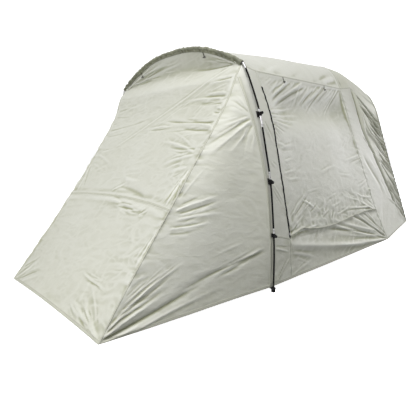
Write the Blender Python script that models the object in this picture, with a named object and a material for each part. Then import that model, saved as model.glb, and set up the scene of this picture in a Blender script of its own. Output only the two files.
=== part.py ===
"""Car tailgate tent: a hooped awning that is sleeved over the back of a car.

+X points toward the car and +Z up. Left is +Y, right is -Y, facing the car.
The front hem lies at -X, the sleeve that grips the car at +X.
Every cloth panel is a thin closed solid, cut along the seams of the real tent.
Neighbouring pieces keep a clearance of CLEAR between them.
"""
import bpy
import bmesh
from math import cos, pi, sin
from mathutils import Vector

# Driving dimensions, in metres
CLEAR = 0.0003
CLOTH = 0.004
HOOP_X = -0.85
POLE_RADIUS = 0.0058
FERRULE_RADIUS = 0.0068
POLE_STANDOFF = 0.022
SLEEVE_RADIUS = 0.0110
BORE_CLEAR = 0.0016
FOOT_RADIUS = 0.017
FOOT_HEIGHT = 0.045
ZIP_WIDTH = 0.012
ZIP_THICK = 0.002
ELASTIC_RADIUS = 0.008
CLIP_HEIGHT = 0.030
CLIP_WALL = 0.0035
HEM_LIFT = 0.035
FRONT_HEM_RISE = 0.02

# Heights of the three clips, and of the ends of the two ferrules, on each leg
CLIP_LEVELS = (1.397, 0.888, 0.467)
FERRULE_MID = (1.300, 1.430)
FERRULE_TOP = (1.752, 1.808)

# The hoop's pole in its own plane: half width, height
POLE_LINE = (
    (1.155, 0.000), (1.171, 0.350), (1.164, 0.630), (1.147, 0.890),
    (1.109, 1.126), (1.058, 1.397), (0.985, 1.610), (0.925, 1.748),
    (0.884, 1.802), (0.783, 1.857), (0.649, 1.915), (0.470, 1.977),
    (0.250, 2.020), (0.000, 2.032),
)

# Seams, each as height, distance behind the hoop, half width
FRONT_SEAM = (
    (0.00, -1.381, 0.884), (0.20, -1.213, 0.866), (0.50, -0.955, 0.852),
    (0.80, -0.700, 0.845), (1.00, -0.539, 0.847), (1.20, -0.383, 0.853),
    (1.35, -0.266, 0.860), (1.50, -0.160, 0.866), (1.60, -0.107, 0.874),
    (1.705, -0.062, 0.886),
)
WING_SEAM = (
    (0.00, -0.012, 1.134), (0.39, -0.017, 1.147), (0.75, -0.020, 1.130),
    (1.04, -0.041, 1.101), (1.30, -0.064, 1.054), (1.52, -0.079, 0.986),
    (1.705, -0.062, 0.886),
)
ZIP_LINE = (
    (0.00, 0.275, 1.133), (0.385, 0.255, 1.136), (0.59, 0.227, 1.126),
    (0.80, 0.208, 1.108), (1.08, 0.192, 1.071), (1.36, 0.186, 1.019),
    (1.62, 0.172, 0.936), (1.745, 0.160, 0.884),
)
DOOR_SEAM = (
    (0.00, 2.077, 1.149), (0.36, 1.949, 1.056), (0.67, 1.885, 0.978),
    (0.87, 1.845, 0.927), (1.03, 1.826, 0.882), (1.37, 1.815, 0.784),
    (1.70, 1.760, 0.700),
)
VALLEY = (
    (0.00, 3.010, 0.958), (0.13, 2.830, 0.962), (0.52, 2.540, 0.923),
    (0.91, 2.296, 0.863), (1.24, 2.111, 0.800), (1.47, 2.059, 0.748),
    (1.72, 1.993, 0.694),
)
SLEEVE_EDGE = (
    (0.00, 3.078, 0.944), (0.45, 2.915, 0.880), (0.90, 2.745, 0.812),
    (1.356, 2.600, 0.745),
)

# The roof's ridge: distance behind the hoop, height
RIDGE = (
    (0.00, 2.010), (0.60, 2.000), (1.30, 1.992), (1.76, 1.990),
    (1.99, 1.958), (2.20, 1.900), (2.40, 1.832), (2.60, 1.752),
)

# Rows of the cloth grid, counted up from the ground
SKIRT_ROW = 6
FRONT_ROW = 10
APEX_ROW = 23
TOP_ROW = 24
SKIRT_FRONT = 0.467
SKIRT_ZIP = 0.385
SKIRT_REAR = 0.360
FRONT_SEAM_HEIGHT = 0.749
ACROSS = 24

SAGE = (0.50, 0.51, 0.44)
SHADE = (0.36, 0.37, 0.30)
BLACK = (0.02, 0.02, 0.02)
STEEL = (0.62, 0.62, 0.60)


def clear_scene():
    for item in list(bpy.data.objects):
        bpy.data.objects.remove(item, do_unlink=True)


def material(name, colour, rough, metal=0.0):
    made = bpy.data.materials.new(name)
    made.use_nodes = True
    shader = made.node_tree.nodes["Principled BSDF"]
    shader.inputs["Base Color"].default_value = (*colour, 1.0)
    shader.inputs["Roughness"].default_value = rough
    shader.inputs["Metallic"].default_value = metal
    return made


def smooth_value(table, key, column):
    """Cubic interpolation of one column of a table that is sorted by its first one."""
    last = len(table) - 1
    if key <= table[0][0]:
        return table[0][column]
    if key >= table[last][0]:
        return table[last][column]
    i = 0
    while table[i + 1][0] < key:
        i += 1

    def slope(k):
        a = max(k - 1, 0)
        b = min(k + 1, last)
        return (table[b][column] - table[a][column]) / (table[b][0] - table[a][0])

    span = table[i + 1][0] - table[i][0]
    t = (key - table[i][0]) / span
    start = table[i][column]
    end = table[i + 1][column]
    return (
        (2 * t ** 3 - 3 * t ** 2 + 1) * start
        + (t ** 3 - 2 * t ** 2 + t) * span * slope(i)
        + (3 * t ** 2 - 2 * t ** 3) * end
        + (t ** 3 - t ** 2) * span * slope(i + 1)
    )


def seam_point(table, height, side=1):
    x = smooth_value(table, height, 1)
    y = smooth_value(table, height, 2)
    return Vector((HOOP_X + x, side * y, height))


def smooth_path(points, steps):
    """Catmull-Rom curve through the points."""
    out = []
    last = len(points) - 1
    for i in range(last):
        p0 = points[max(i - 1, 0)]
        p1 = points[i]
        p2 = points[i + 1]
        p3 = points[min(i + 2, last)]
        for s in range(steps):
            t = s / steps
            out.append(
                0.5 * (2 * p1 + (p2 - p0) * t + (2 * p0 - 5 * p1 + 4 * p2 - p3) * t ** 2
                       + (3 * p1 - p0 - 3 * p2 + p3) * t ** 3)
            )
    out.append(points[last])
    return out


def hoop_path():
    half = [Vector((HOOP_X, y, z)) for y, z in POLE_LINE]
    other = [Vector((HOOP_X, -y, z)) for y, z in reversed(POLE_LINE[:-1])]
    return smooth_path(half + other, 24)


def offset_path(path, distance):
    """Path moved toward the inside of the hoop, in the hoop's plane."""
    out = []
    for i, point in enumerate(path):
        a = path[max(i - 1, 0)]
        b = path[min(i + 1, len(path) - 1)]
        along = (b - a).normalized()
        inward = Vector((0, -along.z, along.y))
        out.append(point + inward * distance)
    return out


HOOP = hoop_path()
SKIN_HOOP = offset_path(HOOP, POLE_STANDOFF)
SHOULDER = min(SKIN_HOOP, key=lambda p: abs(p.y - p.z + 0.910) if p.z > 1.6 and p.y > 0 else 9)


def skin_leg(height, side):
    """Point of the cloth beside the hoop's leg, at a height."""
    pts = [p for p in SKIN_HOOP if p.y > 0.5]
    for a, b in zip(pts, pts[1:]):
        if a.z <= height <= b.z:
            t = (height - a.z) / max(b.z - a.z, 1e-9)
            y = a.y + (b.y - a.y) * t
            return Vector((HOOP_X, side * y, height))
    return Vector((HOOP_X, side * pts[0].y, height))


def skin_arch(y):
    """Point of the cloth under the hoop's arch, at a distance from the middle."""
    pts = [p for p in SKIN_HOOP if p.z > 1.6]
    for a, b in zip(pts, pts[1:]):
        if b.y <= y <= a.y:
            t = (a.y - y) / max(a.y - b.y, 1e-9)
            return a + (b - a) * t
    raise ValueError("outside the arch")


def spread(start, end, count):
    return [start + (end - start) * i / count for i in range(count + 1)]


def row_height(row, foot, break_row, break_height, top_row, top_height):
    if row <= break_row:
        return foot + (break_height - foot) * row / break_row
    part = (row - break_row) / (top_row - break_row)
    return break_height + (top_height - break_height) * part


def front_line(row, side):
    if row == TOP_ROW:
        return Vector((SHOULDER.x, side * SHOULDER.y, SHOULDER.z))
    height = row_height(row, 0.0, FRONT_ROW, FRONT_SEAM_HEIGHT, APEX_ROW, 1.705)
    return seam_point(FRONT_SEAM, height, side)


def wing_line(row, side):
    if row == TOP_ROW:
        return Vector((SHOULDER.x, side * SHOULDER.y, SHOULDER.z))
    height = row_height(row, HEM_LIFT, SKIRT_ROW, SKIRT_FRONT + 0.003, APEX_ROW, 1.705)
    return seam_point(WING_SEAM, height, side)


def hoop_line(row, side):
    height = row_height(row, HEM_LIFT, SKIRT_ROW, SKIRT_FRONT, TOP_ROW, SHOULDER.z)
    if row == TOP_ROW:
        return Vector((SHOULDER.x, side * SHOULDER.y, SHOULDER.z))
    return skin_leg(height, side)


def zip_point(row, side):
    height = row_height(row, HEM_LIFT * 0.8, SKIRT_ROW, SKIRT_ZIP, TOP_ROW, 1.745)
    return seam_point(ZIP_LINE, height, side)


def door_line(row, side):
    height = row_height(row, 0.0, SKIRT_ROW, SKIRT_REAR, TOP_ROW, 1.70)
    return seam_point(DOOR_SEAM, height, side)


def valley_line(row, side):
    height = row_height(row, 0.0, SKIRT_ROW, SKIRT_REAR, TOP_ROW, 1.72)
    return seam_point(VALLEY, height, side)


def sleeve_line(row, side):
    height = row_height(row, 0.0, SKIRT_ROW, 0.30, TOP_ROW, 1.356)
    return seam_point(SLEEVE_EDGE, height, side)


def between(a, b, parts, skip_first=False):
    out = [a + (b - a) * i / parts for i in range(parts + 1)]
    return out[1:] if skip_first else out


def wall_row(row, side):
    """Row of the side wall from the wing's seam to the door's rear seam."""
    out = between(wing_line(row, side), hoop_line(row, side), 2)
    if row == TOP_ROW:
        out += roof_edge_points(side, 0, 3)
    else:
        out += between(hoop_line(row, side), zip_point(row, side), 3, True)
    if row == TOP_ROW:
        out += roof_edge_points(side, 3, 15)
    else:
        out += between(zip_point(row, side), door_line(row, side), 12, True)
    return out


def roof_edge(side):
    """The roof seam's points from the shoulder to the door's rear corner."""
    first = hoop_line(TOP_ROW, side)
    second = zip_point(TOP_ROW, side)
    third = door_line(TOP_ROW, side)
    return between(first, second, 3) + between(second, third, 12, True)


def roof_edge_points(side, start, end):
    return roof_edge(side)[start + 1:end + 1]


def rear_edge(side):
    """The sleeve's upper edge from the door's rear corner to the sleeve's end."""
    first = door_line(TOP_ROW, side)
    second = valley_line(TOP_ROW, side)
    third = sleeve_line(TOP_ROW, side)
    return between(first, second, 3) + between(second, third, 7, True)


def side_share(k):
    return sin(pi / 2 * (2 * k / ACROSS - 1))


def roof_row(edge_left, edge_right):
    """Row of the roof across the tent, between its two edge points."""
    run = edge_left.x - HOOP_X
    ridge = smooth_value(RIDGE, run, 1)
    power = 2.17 + (6.8 - 2.17) * min(run / 1.76, 1.0) ** 0.7
    out = []
    for k in range(ACROSS + 1):
        s = side_share(k)
        y = edge_left.y * s
        z = edge_left.z + (ridge - edge_left.z) * (1 - abs(s) ** power)
        out.append(Vector((edge_left.x, y, z)))
    out[0] = edge_right.copy()
    out[-1] = edge_left.copy()
    return out


def arch_row():
    out = [skin_arch(SHOULDER.y * side_share(k)) for k in range(ACROSS + 1)]
    out[0] = front_line(TOP_ROW, -1)
    out[-1] = front_line(TOP_ROW, 1)
    return out


def front_row(row):
    """Row of the sloping front, from its right seam to its left seam."""
    left = front_line(row, 1)
    right = front_line(row, -1)
    up = left.z / SHOULDER.z
    out = []
    for k in range(ACROSS + 1):
        s = side_share(k)
        hollow = 1 - s * s
        point = right + (left - right) * (s + 1) / 2
        point.x += 0.085 * sin(pi * min(up, 1.0)) ** 0.8 * hollow
        point.z += 0.024 * sin(pi * min(up, 1.0)) * hollow
        point.z += FRONT_HEM_RISE * hollow * (1 - up) ** 6
        out.append(point)
    out[0] = right
    out[-1] = left
    return out


def front_panel_rows(first, last):
    return [front_row(row) for row in range(first, last + 1)]


def arch_rows():
    """Rows from the top of the slope up to the arch."""
    low = front_row(TOP_ROW)
    high = arch_row()
    out = []
    for step in range(1, 5):
        t = step / 4
        row = []
        for a, b in zip(low, high):
            point = a + (b - a) * t
            point.x -= 0.02 * sin(pi * t) * min(1.0, (b - a).length * 6)
            row.append(point)
        out.append(row)
    out[-1] = high
    return out


def column_slice(rows, first, last):
    return [row[first:last + 1] for row in rows]


def wing_rows(side):
    out = []
    for row in range(APEX_ROW + 1):
        a = front_line(row, side)
        b = wing_line(row, side)
        points = between(a, b, 8)
        for i, point in enumerate(points):
            t = i / 8
            point.y -= side * 0.03 * sin(pi * t) * sin(pi * min(a.z, 1.7) / 1.7)
        points[0] = a
        points[-1] = b
        out.append(points)
    return out


def cloth_grids():
    grids = {}
    grids["front_lower_panel"] = front_panel_rows(0, FRONT_ROW)
    grids["front_upper_panel"] = front_panel_rows(FRONT_ROW, TOP_ROW) + arch_rows()
    roof = [arch_row()]
    for k in range(1, 16):
        roof.append(roof_row(roof_edge(1)[k], roof_edge(-1)[k]))
    grids["roof_panel"] = roof
    over = [roof[-1]]
    for k in range(1, 11):
        over.append(roof_row(rear_edge(1)[k], rear_edge(-1)[k]))
    grids["sleeve_top"] = over
    for side, word in ((1, "left"), (-1, "right")):
        wall = [wall_row(row, side) for row in range(TOP_ROW + 1)]
        grids["side_wing_" + word] = wing_rows(side)
        grids["skirt_" + word] = column_slice(wall[:SKIRT_ROW + 1], 0, 17)
        grids["hoop_strip_" + word] = column_slice(wall[SKIRT_ROW:], 0, 5)
        grids["side_door_" + word] = column_slice(wall[SKIRT_ROW:], 5, 17)
        rear = []
        sleeve = []
        for row in range(TOP_ROW + 1):
            a = door_line(row, side)
            b = valley_line(row, side)
            c = sleeve_line(row, side)
            rear.append(between(a, b, 3))
            sleeve.append(between(b, c, 7))
        grids["rear_side_" + word] = rear
        grids["sleeve_side_" + word] = sleeve
    return grids


def key_of(point):
    return (round(point.x, 5), round(point.y, 5), round(point.z, 5))


def grid_mesh(rows):
    """Unique points and faces of a grid whose rows may meet in one point."""
    index = {}
    points = []
    ids = []
    for row in rows:
        line = []
        for point in row:
            key = key_of(point)
            if key not in index:
                index[key] = len(points)
                points.append(point.copy())
            line.append(index[key])
        ids.append(line)
    faces = []
    for low, high in zip(ids, ids[1:]):
        for i in range(len(low) - 1):
            loop = []
            for vertex in (low[i], low[i + 1], high[i + 1], high[i]):
                if vertex not in loop:
                    loop.append(vertex)
            if len(loop) == 3:
                faces.append(loop)
            elif len(loop) == 4:
                faces += halves(points, loop)
    return points, faces


def halves(points, loop):
    """A quad as two triangles, cut along its shorter diagonal."""
    a, b, c, d = loop
    first = (points[a] - points[c]).length
    second = (points[b] - points[d]).length
    if first <= second:
        return [[a, b, c], [a, c, d]]
    return [[b, c, d], [b, d, a]]


def face_normal(points, face):
    total = Vector((0, 0, 0))
    origin = points[face[0]]
    for i in range(1, len(face) - 1):
        total += (points[face[i]] - origin).cross(points[face[i + 1]] - origin)
    return total


def facing_out(points, faces):
    inside = Vector((-0.3, 0.0, 0.7))
    total = 0.0
    for face in faces:
        middle = sum((points[v] for v in face), Vector((0, 0, 0))) / len(face)
        total += face_normal(points, face).dot(middle - inside)
    return total > 0


def shared_normals(meshes):
    normals = {}
    for points, faces in meshes.values():
        for face in faces:
            normal = face_normal(points, face).normalized()
            for i, vertex in enumerate(face):
                a = points[face[i - 1]] - points[vertex]
                b = points[face[(i + 1) % len(face)]] - points[vertex]
                weight = a.angle(b, 0.0)
                key = key_of(points[vertex])
                normals[key] = normals.get(key, Vector((0, 0, 0))) + normal * weight
    for key in normals:
        normals[key].normalize()
    return normals


def new_object(name, vertices, faces, surface, smooth=True):
    mesh = bpy.data.meshes.new(name)
    mesh.from_pydata(vertices, [], faces)
    mesh.validate()
    mesh.materials.append(surface)
    for polygon in mesh.polygons:
        polygon.use_smooth = smooth
    made = bpy.data.objects.new(name, mesh)
    bpy.context.scene.collection.objects.link(made)
    return made


def cloth_at(point):
    """Thickness of the cloth solid, thinner where its seams run together."""
    corner = Vector((SHOULDER.x - 0.03, SHOULDER.y, SHOULDER.z - 0.04))
    away = (Vector((point.x, abs(point.y), point.z)) - corner).length
    return CLOTH * min(1.0, max(0.3, away / 0.18))


def cloth_solid(name, points, faces, normals, surface):
    edges = {}
    for face in faces:
        for i, vertex in enumerate(face):
            edges[(vertex, face[(i + 1) % len(face)])] = face
    rim = [pair for pair in edges if (pair[1], pair[0]) not in edges]
    inward = {}
    for a, b in rim:
        normal = face_normal(points, edges[(a, b)]).normalized()
        direction = normal.cross(points[b] - points[a]).normalized()
        inward.setdefault(a, []).append(direction)
        inward.setdefault(b, []).append(direction)
    outer = []
    inner = []
    for i, point in enumerate(points):
        normal = normals[key_of(point)].copy()
        if point.z < 0.06:
            normal.z = 0.0
            normal.normalize()
        shift = Vector((0, 0, 0))
        if i in inward:
            total = sum(inward[i], Vector((0, 0, 0)))
            first = inward[i][0]
            second = inward[i][-1]
            shift = total * (CLEAR / 2) / max(0.08, 1 + first.dot(second))
        if point.z < 0.001:
            shift.z = max(shift.z, 0.0)
        outer.append(point + shift)
        inner.append(point + shift - normal * cloth_at(point))
    count = len(points)
    solid = [list(face) for face in faces]
    solid += [[vertex + count for vertex in reversed(face)] for face in faces]
    for a, b in rim:
        if key_of(points[a]) < key_of(points[b]):
            solid += [[b, a, b + count], [a, a + count, b + count]]
        else:
            solid += [[b, a, a + count], [b, a + count, b + count]]
    return new_object(name, outer + inner, solid, surface)


def build_cloth(surfaces):
    meshes = {}
    for name, rows in cloth_grids().items():
        points, faces = grid_mesh(rows)
        if not facing_out(points, faces):
            faces = [list(reversed(face)) for face in faces]
        meshes[name] = (points, faces)
    normals = shared_normals(meshes)
    for name, (points, faces) in meshes.items():
        cloth_solid(name, points, faces, normals, surfaces[name])


def sweep(name, path, profile_at, surface, across=Vector((1, 0, 0))):
    """Closed solid along a path; the profile is a loop of (sideways, outward)."""
    vertices = []
    count = 0
    for i, point in enumerate(path):
        a = path[max(i - 1, 0)]
        b = path[min(i + 1, len(path) - 1)]
        along = (b - a).normalized()
        wide = (across - along * across.dot(along)).normalized()
        out = wide.cross(along)
        loop = profile_at(i)
        count = len(loop)
        for u, v in loop:
            vertices.append(point + wide * u + out * v)
    faces = []
    for i in range(len(path) - 1):
        for k in range(count):
            a = i * count + k
            b = i * count + (k + 1) % count
            faces.append([a, b, b + count, a + count])
    faces.append(list(reversed(range(count))))
    faces.append([len(vertices) - count + k for k in range(count)])
    return new_object(name, vertices, faces, surface)


def circle(radius, sides):
    return [(radius * cos(2 * pi * k / sides), radius * sin(2 * pi * k / sides))
            for k in range(sides)]


def fix_facing(made):
    mesh = bmesh.new()
    mesh.from_mesh(made.data)
    bmesh.ops.recalc_face_normals(mesh, faces=mesh.faces)
    mesh.to_mesh(made.data)
    mesh.free()
    return made


def tube(name, path, radius, surface, sides=10, across=Vector((1, 0, 0))):
    loop = circle(radius, sides)
    return fix_facing(sweep(name, path, lambda i: loop, surface, across))


def cut_path(path, start, end, step):
    """Part of a path between two places, thinned, with true directions at its ends."""
    near = 0.003
    first = [p for p in path if near <= (p - start).length <= 3 * near]
    last = [p for p in path if near <= (p - end).length <= 3 * near]
    out = [start]
    if first:
        out.append(first[0])
    tail = ([last[-1]] if last else []) + [end]
    kept = None
    for before, point in zip(path, path[1:]):
        along = (point - before).normalized()
        if kept is None:
            kept = along
        far = (point - out[-1]).length >= step
        turned = along.angle(kept) > 0.08 and (point - out[-1]).length > near
        if (far or turned) and (point - start).length > 3 * near:
            if (point - tail[0]).length > 2 * near:
                out.append(point)
                kept = along
    return out + tail


def pole_point(height, side):
    half = [p for p in HOOP if p.y > 0.3]
    for a, b in zip(half, half[1:]):
        if a.z <= height <= b.z:
            t = (height - a.z) / max(b.z - a.z, 1e-9)
            point = a + (b - a) * t
            return Vector((point.x, side * point.y, point.z))
    raise ValueError("outside the leg")


def arch_path(start_height):
    """The pole's line over the arch, the same on both sides of the middle."""
    start = pole_point(start_height, 1)
    half = [p for p in HOOP if p.z > start_height and p.y > 0.001]
    kept = cut_path(half, start, half[-1], 0.045)
    crown = Vector((HOOP_X, 0.0, HOOP[len(HOOP) // 2].z))
    mirrored = [Vector((p.x, -p.y, p.z)) for p in reversed(kept)]
    return kept + [crown] + mirrored


def leg_part(name, low, high, radius, side, surface):
    start = pole_point(low, side)
    end = pole_point(high, side)
    inner = []
    for point in HOOP:
        if point.y > 0.3 and low < point.z < high:
            inner.append(Vector((point.x, side * point.y, point.z)))
    tube(name, cut_path(inner, start, end, 0.030), radius, surface)


def build_poles(black, steel):
    gap = CLEAR
    for side, word in ((1, "left"), (-1, "right")):
        leg_part("pole_lower_" + word, FOOT_HEIGHT + gap, FERRULE_MID[0] - gap,
                 POLE_RADIUS, side, black)
        leg_part("ferrule_middle_" + word, FERRULE_MID[0], FERRULE_MID[1],
                 FERRULE_RADIUS, side, steel)
        leg_part("pole_upper_" + word, FERRULE_MID[1] + gap, FERRULE_TOP[0] - gap,
                 POLE_RADIUS, side, black)
        leg_part("ferrule_top_" + word, FERRULE_TOP[0], FERRULE_TOP[1],
                 FERRULE_RADIUS, side, steel)
    tube("pole_arch", arch_path(FERRULE_TOP[1] + gap), POLE_RADIUS, black)


def build_pole_sleeve(surface):
    """Cloth tunnel over the arch, stitched down to the seam between roof and front."""
    path = arch_path(FERRULE_TOP[1] + 0.004)
    outer = []
    inner = []
    steps = 14
    for k in range(steps + 1):
        angle = -pi * 0.28 + (pi * 1.56) * k / steps
        outer.append((SLEEVE_RADIUS * cos(angle), SLEEVE_RADIUS * sin(angle)))
        inner.append(((POLE_RADIUS + BORE_CLEAR) * cos(angle), (POLE_RADIUS + BORE_CLEAR) * sin(angle)))
    tip = POLE_STANDOFF - 0.0008
    foot = [(-0.0020, -tip), (0.0020, -tip)]
    closing = -pi * 0.5
    inner.append(((POLE_RADIUS + BORE_CLEAR) * cos(closing), (POLE_RADIUS + BORE_CLEAR) * sin(closing)))
    outer_loop = outer + foot
    inner_loop = inner
    vertices = []
    for i, point in enumerate(path):
        a = path[max(i - 1, 0)]
        b = path[min(i + 1, len(path) - 1)]
        along = (b - a).normalized()
        wide = Vector((1, 0, 0))
        out = wide.cross(along)
        if out.z < 0:
            out = -out
        for u, v in outer_loop + inner_loop:
            vertices.append(point + wide * u + out * v)
    n_out = len(outer_loop)
    n_in = len(inner_loop)
    count = n_out + n_in
    faces = []
    for i in range(len(path) - 1):
        base = i * count
        for k in range(n_out):
            a = base + k
            b = base + (k + 1) % n_out
            faces.append([a, b, b + count, a + count])
        for k in range(n_in):
            a = base + n_out + k
            b = base + n_out + (k + 1) % n_in
            faces.append([b, a, a + count, b + count])
    for base, flip in ((0, True), ((len(path) - 1) * count, False)):
        strips = []
        for k in range(steps):
            strips.append([base + k, base + k + 1, base + n_out + k + 1, base + n_out + k])
        strips.append([base + steps, base + steps + 1, base + n_out + steps + 1,
                       base + n_out + steps])
        strips.append([base + steps + 1, base + steps + 2, base + n_out + steps + 1])
        strips.append([base + steps + 2, base, base + n_out, base + n_out + steps + 1])
        for strip in strips:
            faces.append(list(reversed(strip)) if flip else strip)
    fix_facing(new_object("pole_sleeve", vertices, faces, surface))


def build_feet(rubber, webbing):
    for side, word in ((1, "left"), (-1, "right")):
        centre = Vector((HOOP_X, side * POLE_LINE[0][0], 0.0))
        path = []
        radii = []
        for height, radius in ((0.0, 0.85), (0.004, 1.0), (0.034, 1.0), (0.045, 0.62)):
            path.append(centre + Vector((0, 0, height)))
            radii.append(FOOT_RADIUS * radius)
        sides = 20
        vertices = []
        for point, radius in zip(path, radii):
            for u, v in circle(radius, sides):
                vertices.append(point + Vector((u, v, 0)))
        faces = []
        for i in range(len(path) - 1):
            for k in range(sides):
                a = i * sides + k
                b = i * sides + (k + 1) % sides
                faces.append([a, b, b + sides, a + sides])
        faces.append(list(reversed(range(sides))))
        faces.append([len(vertices) - sides + k for k in range(sides)])
        fix_facing(new_object("pole_foot_" + word, vertices, faces, rubber))
        skin = skin_leg(HEM_LIFT, side)
        outer = centre.y - side * (FOOT_RADIUS + CLEAR)
        box("foot_strap_" + word, (HOOP_X - 0.012, HOOP_X + 0.012),
            sorted((skin.y - side * 0.012, outer)),
            (HEM_LIFT - 0.0128, HEM_LIFT - 0.0008), webbing)


def box(name, xs, ys, zs, surface):
    vertices = [Vector((x, y, z)) for x in xs for y in ys for z in zs]
    faces = [[0, 1, 3, 2], [4, 6, 7, 5], [0, 4, 5, 1], [2, 3, 7, 6], [0, 2, 6, 4], [1, 5, 7, 3]]
    return fix_facing(new_object(name, vertices, faces, surface, False))


def build_clips(surface):
    """Hooks that hold the side wall to the outside pole."""
    for side, word in ((1, "left"), (-1, "right")):
        for number, level in enumerate(CLIP_LEVELS, 1):
            held = FERRULE_RADIUS if FERRULE_MID[0] < level < FERRULE_MID[1] else POLE_RADIUS
            inner = held + 2 * CLEAR
            outer = inner + CLIP_WALL
            low = pole_point(level - CLIP_HEIGHT / 2, side)
            high = pole_point(level + CLIP_HEIGHT / 2, side)
            along = (high - low).normalized()
            forward = Vector((-1, 0, 0))
            outward = forward.cross(along)
            if outward.y * side < 0:
                outward = -outward
            tail = POLE_STANDOFF - 0.0012
            hook = hook_loop(inner, outer, tail)
            vertices = []
            for end in (low, high):
                for u, v in hook:
                    vertices.append(end + forward * u + outward * v)
            n = len(hook)
            faces = []
            for k in range(n):
                b = (k + 1) % n
                faces.append([k, b, b + n, k + n])
            faces.append(list(reversed(range(n))))
            faces.append([v + n for v in range(n)])
            fix_facing(new_object("clip_%s_%d" % (word, number), vertices, faces, surface, False))


def hook_loop(inner, outer, tail):
    """Outline of a clip: its stem on the cloth, round the front of the pole, and back."""
    steps = 16
    last = pi * 0.80
    out = [(0.0050, -tail)]
    for k in range(steps + 1):
        angle = -pi / 3 + (last + pi / 3) * k / steps
        out.append((outer * cos(angle), outer * sin(angle)))
    for k in range(steps + 1):
        angle = last - (last + pi / 2) * k / steps
        out.append((inner * cos(angle), inner * sin(angle)))
    out.append((-0.0030, -inner - 0.0004))
    out.append((-0.0030, -tail))
    return out


def build_zips(surface):
    for side, word in ((1, "left"), (-1, "right")):
        path = []
        for row in range(SKIRT_ROW, TOP_ROW):
            path.append(zip_point(row, side))
        path[0] = path[0] + (path[1] - path[0]) * 0.04
        lift = CLEAR + 0.0006
        vertices = []
        for i, point in enumerate(path):
            row = SKIRT_ROW + i
            before = wall_row(row, side)[4]
            after = wall_row(row, side)[6]
            a = path[max(i - 1, 0)]
            b = path[min(i + 1, len(path) - 1)]
            along = (b - a).normalized()
            wide = (after - before)
            wide = (wide - along * wide.dot(along)).normalized()
            out = wide.cross(along)
            if out.y * side < 0:
                out = -out
            half = ZIP_WIDTH / 2
            for u, v in ((-half, lift), (half, lift), (half, lift + ZIP_THICK),
                         (-half, lift + ZIP_THICK)):
                vertices.append(point + wide * u + out * v)
        faces = []
        for i in range(len(path) - 1):
            for k in range(4):
                a = i * 4 + k
                b = i * 4 + (k + 1) % 4
                faces.append([a, b, b + 4, a + 4])
        faces.append([0, 1, 2, 3])
        end = len(vertices) - 4
        faces.append([end, end + 1, end + 2, end + 3])
        fix_facing(new_object("door_zip_" + word, vertices, faces, surface, False))


def build_elastic(surface):
    """Elastic casing round the sleeve's open end, from the ground over the car's roof."""
    path = []
    before = []
    for row in range(0, TOP_ROW):
        path.append(sleeve_line(row, 1))
        before.append(between(valley_line(row, 1), path[-1], 7)[6])
    path += list(reversed(roof_row(rear_edge(1)[10], rear_edge(-1)[10])))
    before += list(reversed(roof_row(rear_edge(1)[9], rear_edge(-1)[9])))
    for row in range(TOP_ROW - 1, -1, -1):
        path.append(sleeve_line(row, -1))
        before.append(between(valley_line(row, -1), path[-1], 7)[6])
    before[0] = door_line(0, 1)
    before[-1] = door_line(0, -1)
    moved = []
    for i, point in enumerate(path):
        a = path[max(i - 1, 0)]
        b = path[min(i + 1, len(path) - 1)]
        along = (b - a).normalized()
        away = point - before[i]
        away = (away - along * away.dot(along)).normalized()
        moved.append(point + away * (ELASTIC_RADIUS + CLEAR + 0.0003))
    path = moved
    path[0].z = ELASTIC_RADIUS
    path[-1].z = ELASTIC_RADIUS
    middle = len(path) // 2
    kept = [path[0]]
    for point in path[1:middle]:
        if (point - kept[-1]).length > 0.03 and (point - path[middle]).length > 0.03:
            kept.append(point)
    kept = kept + [path[middle]] + [Vector((p.x, -p.y, p.z)) for p in reversed(kept)]
    tube("elastic_hem", kept, ELASTIC_RADIUS, surface, 8)


def surface_frame(points, k):
    a = points[k - 1]
    b = points[k + 1]
    return (b - a).normalized()


def toggle(name, top, down, out, length, surface):
    """Webbing tab with a cross bar, lying on the cloth."""
    wide = down.cross(out).normalized()
    half_strap = 0.003
    half_bar = 0.018
    bar = 0.009
    thick = 0.004
    loop = [
        (-half_strap, 0.0), (half_strap, 0.0), (half_strap, length - bar),
        (half_bar, length - bar), (half_bar, length), (half_strap, length),
        (-half_strap, length), (-half_bar, length), (-half_bar, length - bar),
        (-half_strap, length - bar),
    ]
    vertices = []
    for lift in (0.0, thick):
        for u, v in loop:
            vertices.append(top + wide * u + down * v + out * lift)
    n = len(loop)
    faces = [[k, (k + 1) % n, (k + 1) % n + n, k + n] for k in range(n)]
    for base, flip in ((0, True), (n, False)):
        for part in ((0, 1, 2, 9), (2, 5, 6, 9), (2, 3, 4, 5), (6, 7, 8, 9)):
            loop_ids = [base + v for v in part]
            faces.append(list(reversed(loop_ids)) if flip else loop_ids)
    fix_facing(new_object(name, vertices, faces, surface, False))


def build_toggles(surface):
    rows = arch_rows()
    for word, place in (("left", 0.556), ("right", -0.400)):
        k = min(range(ACROSS + 1), key=lambda i: abs(SHOULDER.y * side_share(i) - place))
        high = rows[3][k]
        low = rows[2][k]
        down = (low - high).normalized()
        sideways = surface_frame(rows[3], k)
        out = sideways.cross(down).normalized()
        if out.x > 0:
            out = -out
        start = high + down * 0.004 + out * 0.0007
        toggle("arch_toggle_" + word, start, down, out, 0.055, surface)
    for side, word in ((1, "left"), (-1, "right")):
        edge = roof_edge(side)
        low_row = wall_row(TOP_ROW - 1, side)
        for number, k in ((1, 6), (2, 12)):
            high = edge[k]
            low = low_row[k + 2]
            down = (low - high).normalized()
            sideways = surface_frame(edge, k)
            out = sideways.cross(down).normalized()
            if out.y * side < 0:
                out = -out
            start = high + down * 0.004 + out * 0.0007
            toggle("door_toggle_%s_%d" % (word, number), start, down, out, 0.050, surface)


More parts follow.
